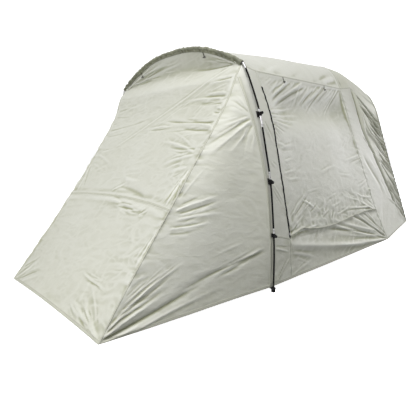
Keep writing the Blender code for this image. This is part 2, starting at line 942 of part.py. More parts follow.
def main():
    clear_scene()
    names = cloth_grids().keys()
    surfaces = {}
    for name in names:
        colour = SHADE if name.startswith("sleeve") else SAGE
        surfaces[name] = material(name, colour, 0.6)
    build_cloth(surfaces)
    black = material("pole_black", BLACK, 0.35)
    steel = material("ferrule_metal", STEEL, 0.25, 1.0)
    plastic = material("clip_plastic", BLACK, 0.5)
    build_poles(black, steel)
    build_pole_sleeve(material("sleeve_cloth", SHADE, 0.7))
    build_feet(material("foot_rubber", BLACK, 0.7), material("webbing", BLACK, 0.8))
    build_clips(plastic)
    build_zips(material("zip_black", BLACK, 0.6))
    build_elastic(material("elastic_cloth", SHADE, 0.8))
    build_toggles(material("toggle_grey", (0.12, 0.12, 0.10), 0.6))


main()
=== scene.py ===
"""Car tailgate tent: cloth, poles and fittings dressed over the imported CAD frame."""

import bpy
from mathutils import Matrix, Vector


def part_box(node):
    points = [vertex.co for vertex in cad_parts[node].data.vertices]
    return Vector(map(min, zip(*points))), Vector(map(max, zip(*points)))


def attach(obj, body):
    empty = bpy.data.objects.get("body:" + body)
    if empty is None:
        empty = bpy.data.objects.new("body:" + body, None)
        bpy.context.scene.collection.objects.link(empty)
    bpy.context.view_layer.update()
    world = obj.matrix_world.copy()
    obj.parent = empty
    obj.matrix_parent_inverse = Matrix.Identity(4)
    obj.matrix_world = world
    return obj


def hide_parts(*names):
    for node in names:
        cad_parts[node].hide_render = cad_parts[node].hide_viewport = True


bl_info = {
    "name": "Car tailgate tent",
    "version": (1, 0, 0),
    "blender": (4, 5, 0),
    "location": "3D View > Sidebar > Tent",
    "description": "Builds the cloth, poles and fittings of a car tailgate tent",
    "category": "Object",
}

import bmesh
import bpy
import numpy as np
from bpy.props import FloatProperty, FloatVectorProperty, PointerProperty
from bpy.types import Operator, Panel, PropertyGroup
from mathutils import Matrix, Vector

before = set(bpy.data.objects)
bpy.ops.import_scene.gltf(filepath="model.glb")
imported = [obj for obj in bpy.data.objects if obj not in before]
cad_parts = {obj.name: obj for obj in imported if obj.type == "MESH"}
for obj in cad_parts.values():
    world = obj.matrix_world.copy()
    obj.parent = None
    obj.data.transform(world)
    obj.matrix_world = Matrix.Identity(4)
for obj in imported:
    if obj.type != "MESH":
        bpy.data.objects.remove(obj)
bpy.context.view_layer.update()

# The hoop's plane, from which every seam below is measured toward the sleeve
HOOP_X = round(sum(corner.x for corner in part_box("pole_arch")) / 2, 4)
# From the pole's centre to the cloth
STANDOFF = 0.022
SIDES = ((1, "left"), (-1, "right"))

# Pole's centre line in the hoop's plane: half width, height
POLE_LINE = np.array((
    (1.155, 0.000), (1.171, 0.350), (1.164, 0.630), (1.147, 0.890),
    (1.109, 1.126), (1.058, 1.397), (0.985, 1.610), (0.925, 1.748),
    (0.884, 1.802), (0.783, 1.857), (0.649, 1.915), (0.470, 1.977),
    (0.250, 2.020), (0.000, 2.032),
))

# Seams: height, distance behind the hoop, half width
FRONT_SEAM = np.array((
    (0.00, -1.381, 0.884), (0.20, -1.213, 0.866), (0.50, -0.955, 0.852),
    (0.80, -0.700, 0.845), (1.00, -0.539, 0.847), (1.20, -0.383, 0.853),
    (1.35, -0.266, 0.860), (1.50, -0.160, 0.866), (1.60, -0.107, 0.874),
    (1.705, -0.062, 0.886),
))
WING_SEAM = np.array((
    (0.00, -0.012, 1.134), (0.39, -0.017, 1.147), (0.75, -0.020, 1.130),
    (1.04, -0.041, 1.101), (1.30, -0.064, 1.054), (1.52, -0.079, 0.986),
    (1.705, -0.062, 0.886),
))
ZIP_LINE = np.array((
    (0.00, 0.275, 1.133), (0.385, 0.255, 1.136), (0.59, 0.227, 1.126),
    (0.80, 0.208, 1.108), (1.08, 0.192, 1.071), (1.36, 0.186, 1.019),
    (1.62, 0.172, 0.936), (1.745, 0.160, 0.884),
))
DOOR_SEAM = np.array((
    (0.00, 2.077, 1.149), (0.36, 1.949, 1.056), (0.67, 1.885, 0.978),
    (0.87, 1.845, 0.927), (1.03, 1.826, 0.882), (1.37, 1.815, 0.784),
    (1.70, 1.760, 0.700),
))
VALLEY = np.array((
    (0.00, 3.010, 0.958), (0.13, 2.830, 0.962), (0.52, 2.540, 0.923),
    (0.91, 2.296, 0.863), (1.24, 2.111, 0.800), (1.47, 2.059, 0.748),
    (1.72, 1.993, 0.694),
))
SLEEVE_EDGE = np.array((
    (0.00, 3.078, 0.944), (0.45, 2.915, 0.880), (0.90, 2.745, 0.812),
    (1.356, 2.600, 0.745),
))
# Roof's ridge: distance behind the hoop, height
RIDGE = np.array((
    (0.00, 2.010), (0.60, 2.000), (1.30, 1.992), (1.76, 1.990),
    (1.99, 1.958), (2.20, 1.900), (2.40, 1.832), (2.60, 1.752),
))
# Rows of the seam over the skirt, the front's level seam, the wing's upper corner and the roof's edge
SKIRT_ROW, FRONT_ROW, APEX_ROW, TOP_ROW = 6, 10, 23, 24
# Heights of the level seam at the front's sides, of the skirt's seam at the wing and at the hoop
FRONT_BREAK, WING_BREAK, HOOP_BREAK = 0.749, 0.470, 0.467
# How far the hem is off the ground at the hoop, and the height of the wing's upper corner
HEM_LIFT, APEX_HEIGHT = 0.035, 1.705
# How far the slope hangs in, and how square the roof is over the arch and over the sleeve
FRONT_HOLLOW, ARCH_POWER, SLEEVE_POWER = 0.085, 2.17, 6.8
ROOF_END, SLEEVE_END = 1.76, 2.60

# Folds, in millimetres: where each starts and ends on its panel, half width at its start and end,
# height (under zero for a valley), and where it is not as usual the share of its length that it
# takes to rise and to fade. On the walls and wings the place is distance behind the hoop and
# height, on the front half width and height, on the roof distance and half width. The right side
# is the near one, and has its half widths under zero.

def in_metres(*folds):
    """Whole folds, with their places in metres and their widths and heights as given."""
    return [(*(v / 1000 for v in fold[:4]), *fold[4:7], *(fold[7:] or (0.1, 0.5))) for fold in folds]


WING_FOLDS = in_metres(
    # from the top clip across to the front seam
    (-70, 1350, -440, 1090, 12, 34, 11), (-80, 1360, -410, 1160, 10, 26, -8, 0.05, 0.3),
    (-80, 1380, -280, 1310, 8, 20, 5), (-80, 1410, -150, 1530, 8, 18, -4),
    (-80, 1430, -110, 1570, 8, 16, 4), (-70, 1320, -190, 1080, 10, 35, -6, 0.05, 0.8),
    (-60, 1300, -130, 1010, 10, 35, 5, 0.05, 0.8),
    # from the end of the front's level seam
    (-710, 740, -370, 820, 10, 24, 12), (-690, 720, -420, 780, 10, 20, -9),
    (-720, 680, -330, 690, 10, 22, 7), (-750, 630, -500, 650, 10, 18, -9),
    (-780, 620, -470, 630, 10, 18, 9), (-790, 590, -600, 590, 10, 16, -5),
    (-720, 780, -440, 1110, 12, 22, 8),
    # from the front corner up to the pole
    (-1370, 10, -500, 250, 12, 45, -21), (-1380, 10, -890, 200, 12, 30, 14),
    (-1380, 20, -1010, 90, 8, 22, -11), (-1380, 20, -1090, 190, 8, 16, 9),
    (-1370, 0, -980, 40, 10, 30, 6), (-40, 350, -870, 170, 30, 30, -18, 0.25, 0.5),
    (-60, 380, -680, 220, 26, 26, 12, 0.25, 0.5), (-200, 460, -580, 380, 22, 22, 4, 0.4, 0.5),
    # narrow pairs in between
    (-1250, 120, -700, 400, 10, 14, 9, 0.2, 0.4), (-1220, 130, -840, 310, 10, 12, -8, 0.2, 0.4),
    (-1190, 190, -820, 370, 10, 14, 7, 0.2, 0.4), (-1200, 170, -910, 230, 10, 18, -7),
    (-1060, 330, -960, 350, 10, 14, 3, 0.2, 0.6), (-1260, 200, -1000, 360, 9, 13, 5, 0.2, 0.5),
)
FRONT_FOLDS = in_metres(
    # level wrinkles beside the near seam, from its top down
    (-850, 1690, -630, 1687, 10, 20, -9), (-840, 1671, -570, 1669, 10, 22, 9),
    (-830, 1577, -470, 1579, 10, 20, 7), (-830, 1552, -480, 1591, 10, 18, -8),
    (-830, 1528, -250, 1560, 10, 20, 9), (-830, 1495, -470, 1521, 10, 18, -8),
    (-840, 1453, -760, 1468, 8, 12, 10, 0.2, 0.5), (-840, 1421, -750, 1436, 8, 12, -10, 0.2, 0.5),
    (-840, 1357, -90, 1406, 12, 20, -13, 0.1, 0.3), (-850, 1317, -180, 1377, 12, 26, 13),
    (-810, 1295, -380, 1330, 10, 20, -9), (-270, 1349, 150, 1336, 10, 18, 10, 0.3, 0.5),
    (-760, 1138, -170, 1228, 12, 20, 10), (-760, 1160, -340, 1175, 12, 18, -9),
    (-770, 1117, -370, 1030, 12, 22, 10), (-770, 1030, -550, 978, 10, 20, 8),
    (-820, 1022, -750, 760, 14, 18, 12, 0.15, 0.25), (-800, 1000, -700, 776, 12, 16, -12, 0.15, 0.25),
    (-790, 927, -810, 797, 10, 12, -10, 0.2, 0.3),
    # the hang above the level seam, and the bulge under it
    (160, 850, -450, 785, 40, 45, -15, 0.4, 0.4), (190, 809, 10, 881, 8, 12, 8, 0.2, 0.5),
    (90, 740, -570, 720, 16, 20, 12, 0.3, 0.4), (-10, 720, -340, 722, 10, 12, -10, 0.3, 0.4),
    (-80, 700, -400, 690, 12, 12, -10, 0.3, 0.5), (-230, 688, -510, 716, 12, 14, 10, 0.2, 0.5),
    (-460, 673, -570, 725, 10, 14, 9, 0.2, 0.4),
    # beside the lower part of the near seam
    (-838, 608, -817, 393, 14, 20, 12, 0.1, 0.3),
    (-841, 591, -825, 449, 10, 14, -12, 0.1, 0.3),
    # from the far corner and the near corner
    (850, 10, 590, 210, 10, 28, 12), (800, 10, 410, 170, 10, 28, -9),
    (820, 110, 690, 190, 10, 14, -8), (-860, 10, -350, 160, 12, 30, 12),
    (-860, 10, -230, 110, 12, 35, 11), (-850, 10, -330, 30, 12, 30, -11),
    (-850, 10, -550, 120, 10, 22, -10), (-720, 20, -500, 60, 10, 14, -9, 0.2, 0.5),
    (-830, 10, -450, 130, 8, 12, 8),
    # small crumples
    (-200, 260, -660, 230, 8, 10, 9, 0.3, 0.5), (-310, 230, -620, 220, 8, 10, -8, 0.3, 0.5),
    (-310, 90, -570, 50, 8, 12, 9, 0.3, 0.5),
    # the tight line from the near shoulder down across the front
    (-820, 1800, 620, 1150, 11, 12, 5, 0.05, 0.2),
)
ARCH_FOLDS = in_metres(
    (-800, 1808, -440, 1943, 8, 16, 14), (-790, 1806, -460, 1897, 8, 18, -14),
    (-800, 1803, -240, 1834, 8, 26, -12), (-800, 1806, -450, 1876, 8, 18, 12),
    (870, 1788, 390, 1958, 10, 20, 12), (840, 1809, 350, 1987, 8, 16, -12),
    (520, 1901, 80, 1976, 10, 18, 10), (480, 1868, 60, 1927, 10, 22, -12),
    (700, 1830, 300, 1900, 10, 22, 10), (200, 1900, -150, 1930, 12, 22, 6, 0.3, 0.5),
)
WALL_FOLDS = in_metres(
    # ruffles that hang from the roof's seam
    (470, 1690, 230, 1571, 10, 16, 8), (630, 1705, 220, 1523, 12, 20, 13),
    (700, 1693, 230, 1483, 10, 18, -11), (910, 1706, 210, 1482, 14, 26, 17),
    (940, 1665, 280, 1456, 14, 24, -14), (850, 1670, 680, 1490, 12, 18, 8),
    (1030, 1670, 750, 1487, 12, 18, 11), (1120, 1650, 840, 1493, 12, 16, -13),
    (1320, 1695, 880, 1505, 14, 20, 18), (1430, 1695, 1060, 1516, 12, 16, 11),
    (1460, 1670, 1190, 1529, 10, 14, -10), (1590, 1695, 1270, 1550, 10, 16, 8),
    (1690, 1695, 1320, 1409, 10, 18, 9), (1740, 1690, 1430, 1465, 10, 16, -7),
    (760, 1698, 620, 1634, 8, 12, 7), (360, 1700, 200, 1640, 8, 12, 6),
    (1200, 1690, 1000, 1600, 8, 13, 6),
    # from the zip, beside the top clip
    (180, 1422, 630, 1469, 8, 20, 8), (180, 1406, 720, 1443, 8, 20, -7),
    (180, 1389, 800, 1413, 8, 22, 8), (180, 1369, 760, 1343, 8, 22, 8),
    (180, 1378, 730, 1375, 8, 18, -6), (180, 1350, 600, 1289, 8, 20, 8),
    (180, 1333, 440, 1252, 8, 18, -7), (180, 1319, 380, 1234, 8, 18, 8),
    (190, 1287, 280, 1219, 8, 14, 6), (200, 1245, 260, 1200, 8, 12, 5),
    (210, 1174, 350, 1139, 8, 14, 5),
    # the door's middle
    (240, 1130, 530, 1139, 10, 16, 5, 0.2, 0.6), (270, 1019, 470, 1034, 10, 14, 5, 0.2, 0.6),
    (230, 922, 460, 929, 10, 14, 6, 0.2, 0.6), (300, 869, 520, 858, 10, 14, 5, 0.2, 0.6),
    (870, 870, 1240, 910, 12, 18, 5, 0.3, 0.5), (1250, 821, 1540, 768, 12, 16, 4, 0.3, 0.5),
    (1850, 977, 1420, 943, 10, 14, 6), (1890, 935, 1520, 899, 10, 14, -5),
    (1900, 699, 1570, 647, 10, 14, 5),
    # crumples above the loose edge
    (270, 553, 570, 729, 8, 12, 10, 0.2, 0.4), (310, 542, 610, 719, 8, 12, -8, 0.2, 0.4),
    (570, 729, 850, 725, 10, 14, 5, 0.2, 0.5), (480, 675, 700, 561, 10, 14, 9, 0.2, 0.4),
    (490, 581, 640, 641, 9, 12, 8, 0.2, 0.4), (590, 549, 730, 606, 9, 12, -8, 0.2, 0.4),
    (780, 473, 930, 526, 10, 14, 8, 0.2, 0.4), (940, 420, 1010, 501, 10, 14, -8, 0.2, 0.4),
    (1860, 375, 1570, 517, 10, 16, 12), (1570, 514, 1250, 605, 12, 18, 8),
    (1930, 387, 1750, 517, 9, 14, -9), (1760, 515, 1520, 604, 10, 16, 7),
    (1810, 405, 1260, 491, 10, 18, 10), (1750, 398, 1150, 456, 10, 18, -9),
    (1330, 479, 1000, 446, 12, 18, 8, 0.2, 0.4), (1180, 556, 930, 536, 12, 18, 6, 0.2, 0.5),
    (1110, 647, 860, 624, 12, 18, 5, 0.2, 0.5), (260, 406, 520, 447, 10, 20, 12),
    (270, 400, 770, 415, 10, 18, 9), (250, 417, 430, 515, 10, 18, -8),
    (290, 449, 510, 551, 10, 16, 7),
    # the strip between pole and zip
    (60, 865, 210, 680, 6, 10, 7), (40, 839, 180, 661, 6, 10, -5),
    (60, 1343, 150, 1158, 8, 12, 7), (80, 1347, 140, 1232, 8, 10, -5),
    (80, 1033, 140, 977, 8, 10, 6), (0, 1307, 70, 1234, 8, 10, 5),
)
SKIRT_FOLDS = in_metres(
    # from the rear corner
    (2050, 12, 870, 345, 14, 22, -17, 0.03, 0.15), (2050, 30, 950, 375, 12, 26, 17, 0.03, 0.15),
    (2050, 8, 260, 330, 16, 85, 30, 0.05, 0.06), (2040, 30, 1330, 413, 10, 18, -15, 0.04, 0.2),
    (2040, 55, 1450, 410, 10, 18, 14, 0.04, 0.2), (2030, 75, 1610, 385, 10, 16, -11, 0.04, 0.2),
    (2020, 70, 1720, 380, 9, 14, 10, 0.04, 0.2),
    # beside the pole and behind the seam under the zip
    (70, 50, 240, 225, 6, 9, 11, 0.15, 0.2), (50, 344, 240, 272, 8, 10, 9, 0.1, 0.3),
    (50, 366, 240, 318, 8, 9, -6), (290, 250, 680, 110, 16, 26, 9),
    (290, 50, 620, 130, 14, 22, 6),
)
REAR_FOLDS = in_metres(
    (2050, 1186, 2460, 830, 12, 14, -16, 0.2, 0.15), (2460, 830, 2800, 520, 13, 13, -20, 0.15, 0.04),
    # long gathers that run down to the elastic
    (2060, 1690, 2470, 1405, 14, 12, -30, 0.2, 0.02), (2120, 1560, 2580, 1250, 14, 13, 20, 0.2, 0.02),
    (2240, 1470, 2610, 1190, 14, 12, -32, 0.2, 0.02),
    (2040, 1720, 2400, 1520, 12, 10, -22, 0.15, 0.02),
    (2370, 1337, 2700, 1060, 14, 14, 20, 0.2, 0.02), (2440, 953, 2790, 710, 13, 13, -22, 0.2, 0.02),
    (2450, 890, 2830, 600, 15, 14, 18, 0.2, 0.02), (2490, 624, 2900, 340, 13, 13, 18, 0.2, 0.02),
    (2550, 514, 2930, 280, 12, 12, -17, 0.2, 0.02), (2450, 425, 2990, 130, 13, 14, 14, 0.2, 0.02),
    # the smooth panel in front of them
    (1930, 984, 2360, 538, 45, 60, -16, 0.3, 0.3), (2250, 670, 2450, 420, 40, 40, 9, 0.3, 0.5),
)
# The fold that stands over the sleeve: distance behind the hoop, height, from the top down
DEEP_FOLD = np.array((
    (2.00, 1.760), (2.05, 1.662), (2.09, 1.500), (2.14, 1.377), (2.20, 1.280), (2.28, 1.200),
    (2.42, 1.110), (2.70, 0.941),
))
ROOF_FOLDS = in_metres(
    (1100, -775, 1600, -640, 20, 24, -9, 0.2, 0.5), (1170, -767, 1590, -683, 20, 22, 7, 0.2, 0.5),
    (1340, -744, 1740, -650, 18, 22, 13, 0.15, 0.3), (1450, -726, 1740, -668, 12, 14, -8, 0.2, 0.4),
    (300, -860, 750, -700, 22, 34, 5, 0.2, 0.6), (620, -840, 1050, -690, 22, 34, -5, 0.2, 0.6),
    (50, -600, 1250, -550, 50, 80, 5, 0.3, 0.5), (50, -200, 1400, -250, 60, 90, 5, 0.3, 0.5),
    (50, 250, 1300, 200, 60, 90, -5, 0.3, 0.5),
)
# Height of the door's loose lower edge, by distance behind the hoop
LOOSE_EDGE = np.array((
    (0.25, 0.392), (0.32, 0.415), (0.45, 0.432), (0.58, 0.405), (0.71, 0.382),
    (0.97, 0.363), (1.32, 0.374), (1.64, 0.379), (1.95, 0.360),
))


# Curves and seams

def smooth(table, key, column):
    """Cubic curve through one column of a table, sorted by its first column."""
    key = np.clip(np.asarray(key, float), table[0, 0], table[-1, 0])
    x, y = table[:, 0], table[:, column]
    slope = np.empty(len(x))
    slope[1:-1] = (y[2:] - y[:-2]) / (x[2:] - x[:-2])
    slope[0] = (y[1] - y[0]) / (x[1] - x[0])
    slope[-1] = (y[-1] - y[-2]) / (x[-1] - x[-2])
    i = np.clip(np.searchsorted(x, key, side="left") - 1, 0, len(x) - 2)
    span = x[i + 1] - x[i]
    t = (key - x[i]) / span
    return ((2 * t ** 3 - 3 * t ** 2 + 1) * y[i] + (t ** 3 - 2 * t ** 2 + t) * span * slope[i]
            + (3 * t ** 2 - 2 * t ** 3) * y[i + 1] + (t ** 3 - t ** 2) * span * slope[i + 1])


def ease(low, high, value):
    """0 at low, 1 at high, soft at both."""
    t = np.clip((value - low) / (high - low), 0, 1)
    return t * t * (3 - 2 * t)


def noise(x, y, seed):
    """Smooth noise of about unit size, one bump for each unit of x and y."""
    x, y = np.broadcast_arrays(np.asarray(x, float), np.asarray(y, float))
    table = np.random.default_rng(seed).uniform(-1, 1, (64, 64))
    xi, yi = np.floor(x).astype(int), np.floor(y).astype(int)
    u, v = x - xi, y - yi
    u = u * u * u * (u * (u * 6 - 15) + 10)
    v = v * v * v * (v * (v * 6 - 15) + 10)
    a, b = table[xi % 64, yi % 64], table[(xi + 1) % 64, yi % 64]
    c, d = table[xi % 64, (yi + 1) % 64], table[(xi + 1) % 64, (yi + 1) % 64]
    return (a * (1 - u) + b * u) * (1 - v) + (c * (1 - u) + d * u) * v


def catmull(line, steps):
    """Smooth line through a few points."""
    line = np.asarray(line, float)
    padded = np.vstack([line[:1], line, line[-1:]])
    t = (np.arange(steps) / steps)[:, None]
    out = []
    for p0, p1, p2, p3 in zip(padded, padded[1:], padded[2:], padded[3:]):
        out.append(0.5 * (2 * p1 + (p2 - p0) * t + (2 * p0 - 5 * p1 + 4 * p2 - p3) * t ** 2
                          + (3 * p1 - p0 - 3 * p2 + p3) * t ** 3))
    return np.vstack(out + [line[-1:]])


def unit(vectors):
    return vectors / np.maximum(np.linalg.norm(vectors, axis=-1, keepdims=True), 1e-12)


def square_to(vectors, along):
    """Vectors turned square to the unit vectors along, as unit vectors."""
    return unit(vectors - along * np.sum(vectors * along, axis=1, keepdims=True))


def inside(curve, distance):
    """A curve in the hoop's plane moved toward its inside."""
    along = unit(np.vstack([curve[1:], curve[-1:]]) - np.vstack([curve[:1], curve[:-1]]))
    return curve + np.column_stack([-along[:, 1], along[:, 0]]) * distance


def added_up(steps):
    """Where each step starts, and where the last one ends."""
    return np.concatenate([[0], np.cumsum(steps)])


def travelled(line):
    """Distance along a line at each of its points."""
    return added_up(np.linalg.norm(np.diff(line, axis=0), axis=1))


def between(marks, travel, line):
    """A line's points, or what else goes with them, at marks of its distance."""
    return np.stack([np.interp(marks, travel, column) for column in line.T], axis=-1)


def spaced(line, step):
    """The same line with points at even steps."""
    travel = travelled(line)
    marks = np.linspace(0, travel[-1], max(int(round(travel[-1] / step)), 2) + 1)
    return between(marks, travel, line)


# The pole's centre line from the left foot over the arch to the right foot, as y and z
HOOP = catmull(np.vstack([POLE_LINE, (POLE_LINE * (-1, 1))[:-1][::-1]]), 24)
# The cloth's line inside the pole, and its shoulder, where its height is this much over its half width
SHOULDER_RISE = 0.910
SKIN = inside(HOOP, STANDOFF)
LEFT_TOP = SKIN[(SKIN[:, 1] > 1.6) & (SKIN[:, 0] > 0)]
SHOULDER = LEFT_TOP[np.argmin(np.abs(LEFT_TOP[:, 0] - LEFT_TOP[:, 1] + SHOULDER_RISE))]
# The cloth's line along the left leg, up to the shoulder
LEG = SKIN[SKIN[:, 0] > 0.5]
LEG = LEG[:np.argmax(LEG[:, 1] > SHOULDER[1] + 0.002)]


def points(x, y, z):
    x, y, z = np.broadcast_arrays(x, y, z)
    return np.stack([x + HOOP_X, y, z], axis=-1)


def row_height(row, foot, break_row, break_height, top_row, top_height):
    row = np.asarray(row, float)
    low = foot + (break_height - foot) * row / break_row
    high = break_height + (top_height - break_height) * (row - break_row) / (top_row - break_row)
    return np.where(row <= break_row, low, high)


def seam(table, height, side):
    return points(smooth(table, height, 1), side * smooth(table, height, 2), height)


def to_shoulder(line, row, side):
    """Above the apex row a seam runs straight to the shoulder."""
    top = points(0.0, side * SHOULDER[0], SHOULDER[1])
    part = np.clip(np.asarray(row, float) - APEX_ROW, 0, 1)[..., None]
    return line * (1 - part) + top * part


def drawn_up(grid, rows, side, near=0):
    """A seam's own small wrinkles, shared by the panels sewn along it, dying out into the panel."""
    gap = np.linalg.norm(grid - grid[:, near][:, None], axis=-1)
    wave = 0.006 * noise(rows * 2.3 + side, rows * 0.0 + 4, 40) * ease(0, 1, rows)
    wave = wave * ease(APEX_ROW, APEX_ROW - 1, rows)
    wave = wave[:, None] * np.exp(-gap / 0.035)
    return grid + wave[..., None] * np.array((-0.6, 0.8 * side, 0.0))


def front_line(row, side):
    height = row_height(row, 0.0, FRONT_ROW, FRONT_BREAK, APEX_ROW, APEX_HEIGHT)
    return to_shoulder(seam(FRONT_SEAM, np.minimum(height, APEX_HEIGHT), side), row, side)


def wing_line(row, side):
    height = row_height(row, HEM_LIFT, SKIRT_ROW, WING_BREAK, APEX_ROW, APEX_HEIGHT)
    return to_shoulder(seam(WING_SEAM, np.minimum(height, APEX_HEIGHT), side), row, side)


def hoop_line(row, side):
    height = row_height(row, HEM_LIFT, SKIRT_ROW, HOOP_BREAK, TOP_ROW, SHOULDER[1])
    half = np.interp(height, LEG[:, 1], LEG[:, 0])
    half = np.where(np.asarray(row) >= TOP_ROW, SHOULDER[0], half)
    return points(0.0, side * half, height)


def tall_line(table, foot, skirt, top):
    """A seam from the ground to the roof: its heights at the foot, over the skirt and at the top."""
    return lambda row, side: seam(table, row_height(row, foot, SKIRT_ROW, skirt, TOP_ROW, top), side)


# Side wall, as a grid: its seams from the wing to the sleeve's end, and the columns between them
WALL_LINES = (wing_line, hoop_line, tall_line(ZIP_LINE, HEM_LIFT * 0.8, 0.385, 1.745),
              tall_line(DOOR_SEAM, 0.0, 0.360, 1.70), tall_line(VALLEY, 0.0, 0.360, 1.72),
              tall_line(SLEEVE_EDGE, 0.0, 0.300, 1.356))
WALL_COUNTS = (8, 18, 176, 42, 98)
HOOP_COLUMN, ZIP_COLUMN, DOOR_COLUMN, VALLEY_COLUMN, SLEEVE_COLUMN = (
    int(column) for column in np.cumsum(WALL_COUNTS))
WALL_ROWS = 240
PER_ROW = WALL_ROWS / TOP_ROW


def ruled(a, b, t):
    """Straight rows from one seam to another, with points at the shares t of their length."""
    return a[:, None, :] + (b - a)[:, None, :] * t[None, :, None]


def wall_grid(side):
    rows = np.linspace(0, TOP_ROW, WALL_ROWS + 1)
    lines = [line(rows, side) for line in WALL_LINES]
    parts = [ruled(a, b, np.arange(n) / n) for a, b, n in zip(lines, lines[1:], WALL_COUNTS)]
    return np.concatenate(parts + [lines[-1][:, None, :]], axis=1), rows


# Columns and rows of the right wing, which the camera sees, and of the left wing
WING_COUNTS = {-1: (170, 260), 1: (100, 170)}


def wing_grid(side):
    across, up = WING_COUNTS[side]
    rows = np.linspace(0, APEX_ROW, up + 1)
    line, t = front_line(rows, side), np.linspace(0, 1, across + 1)
    grid = ruled(line, wing_line(rows, side), t)
    level = np.clip(line[:, 2], 0, 1.7)[:, None] / 1.7
    # full beside the front's seam, hollow toward the pole
    full = 0.030 * np.sin(np.pi * t) * np.sin(np.pi * t ** 0.55) - 0.012 * np.sin(np.pi * t ** 1.8)
    grid[..., 1] += side * full[None, :] * np.sin(np.pi * np.clip(level, 0.06, 1))
    return drawn_up(grid, rows, side)


FRONT_COLUMNS, ROOF_COLUMNS, ARCH_ROWS = 200, 130, 40


def front_grid(low, high, up):
    """The sloping front between two rows, from its right seam to its left seam."""
    rows = np.linspace(low, high, up + 1)
    left, right = front_line(rows, 1), front_line(rows, -1)
    t = np.linspace(0, 1, FRONT_COLUMNS + 1)
    s = 2 * t - 1
    grid = ruled(right, left, t)
    level = np.clip(left[:, 2] / SHOULDER[1], 0, 1)[:, None]
    hollow = (1 - s * s)[None, :]
    wave = np.sin(np.pi * level)
    grid[..., 0] += FRONT_HOLLOW * np.clip(wave, 0, 1) * hollow
    grid[..., 2] += 0.024 * wave * hollow + 0.02 * hollow * (1 - level) ** 6
    return drawn_up(drawn_up(grid, rows, -1), rows, 1, -1)


def arch_points(y):
    top = SKIN[SKIN[:, 1] > 1.6]
    z = np.interp(-np.asarray(y), -top[:, 0], top[:, 1])
    z = np.where(np.abs(y) >= SHOULDER[0] - 1e-6, SHOULDER[1], z)
    return points(0.0, y, z)


def arch_grid():
    """The upright cloth between the slope's top and the arch."""
    low = front_grid(TOP_ROW, TOP_ROW, 1)[0]
    high = arch_points(low[:, 1])
    t = np.linspace(0, 1, ARCH_ROWS + 1)
    grid = low[None] + (high - low)[None] * t[:, None, None]
    tall = np.clip(np.linalg.norm(high - low, axis=1) * 6, 0, 1)
    grid[..., 0] += 0.040 * np.sin(np.pi * t ** 0.6)[:, None] * tall[None]
    return grid


def soften(grid, row, reach, rounds):
    """Rounds a crease that runs along one row of a grid."""
    rows = np.arange(len(grid))
    weight = (0.5 * np.exp(-((rows - row) / reach) ** 2))[1:-1, None, None]
    for _ in range(rounds):
        bend = grid[2:] + grid[:-2] - 2 * grid[1:-1]
        grid[1:-1, 1:-1] += (weight * bend)[:, 1:-1]
    return grid


def roof_edge(run):
    """The roof's seam over the left wall, by its distance behind the hoop."""
    marks = np.array([points(0.0, *SHOULDER)] + [line(TOP_ROW, 1) for line in WALL_LINES[2:]])
    return between(run + HOOP_X, marks[:, 0], marks)


def roof_grid(start, end, along):
    """The roof between two distances behind the hoop."""
    run = np.linspace(start, end, along + 1)
    edge = roof_edge(run)
    s = np.sin(np.linspace(-np.pi / 2, np.pi / 2, ROOF_COLUMNS + 1))
    ridge = smooth(RIDGE, run, 1)
    power = ARCH_POWER + (SLEEVE_POWER - ARCH_POWER) * np.clip(run / ROOF_END, 0, 1) ** 0.7
    y = edge[:, 1:2] * s[None]
    z = edge[:, 2:3] + (ridge - edge[:, 2])[:, None] * (1 - np.abs(s)[None] ** power[:, None])
    arch = arch_points(SHOULDER[0] * s)
    first = (1 - ease(0, 0.10, run))[:, None]
    z = z * (1 - first) + arch[None, :, 2] * first
    return np.stack([np.broadcast_to(edge[:, 0:1], y.shape), y, z], axis=-1)


# Folds in the cloth

# A place inside the tent, near its middle
WITHIN_TENT = (-1.15, 0.0, 0.7)


def facing(grid):
    """The way that a grid of points faces at each of them."""
    return np.cross(np.gradient(grid, axis=1), np.gradient(grid, axis=0))


def outward(grid):
    """Unit normals of a grid of points, away from the tent's middle."""
    n = unit(facing(grid))
    return n if np.sum(n * (grid - WITHIN_TENT)) > 0 else -n


# A fold's width over the one given for it, its bow over its length, and the dip beside its crest
FOLD_WIDTH, FOLD_BOW, FOLD_DIP = 0.8, 0.018, 0.36


def fold_height(p, q, fold):
    """One fold: a sharp crest with a shallow dip on both sides, over a panel's two distances."""
    p0, q0, p1, q1, w0, w1, height, lead, tail = fold
    dp, dq = p1 - p0, q1 - q0
    length = np.hypot(dp, dq)
    t = ((p - p0) * dp + (q - q0) * dq) / length ** 2
    across = ((q - q0) * dp - (p - p0) * dq) / length
    near = (t > -0.05) & (t < 1.05) & (np.abs(across) < 0.008 * max(w0, w1))
    t, across = t[near], across[near]
    across = across - FOLD_BOW * length * np.sin(np.pi * np.clip(t, 0, 1)) * np.sign(height)
    width = FOLD_WIDTH * (w0 + (w1 - w0) * np.clip(t, 0, 1)) / 1000
    fade = ease(-0.02, lead, t) * (1 - ease(1 - tail, 1.02, t))
    s = across / width
    crest = np.exp(-(s * s + 0.02) ** 0.62 + 0.09) - FOLD_DIP * np.exp(-(s / 2.3) ** 2)
    out = np.zeros_like(p)
    out[near] = height / 1000 * fade * crest
    return out


def fold_relief(p, q, folds):
    return sum(fold_height(p, q, fold) for fold in folds)


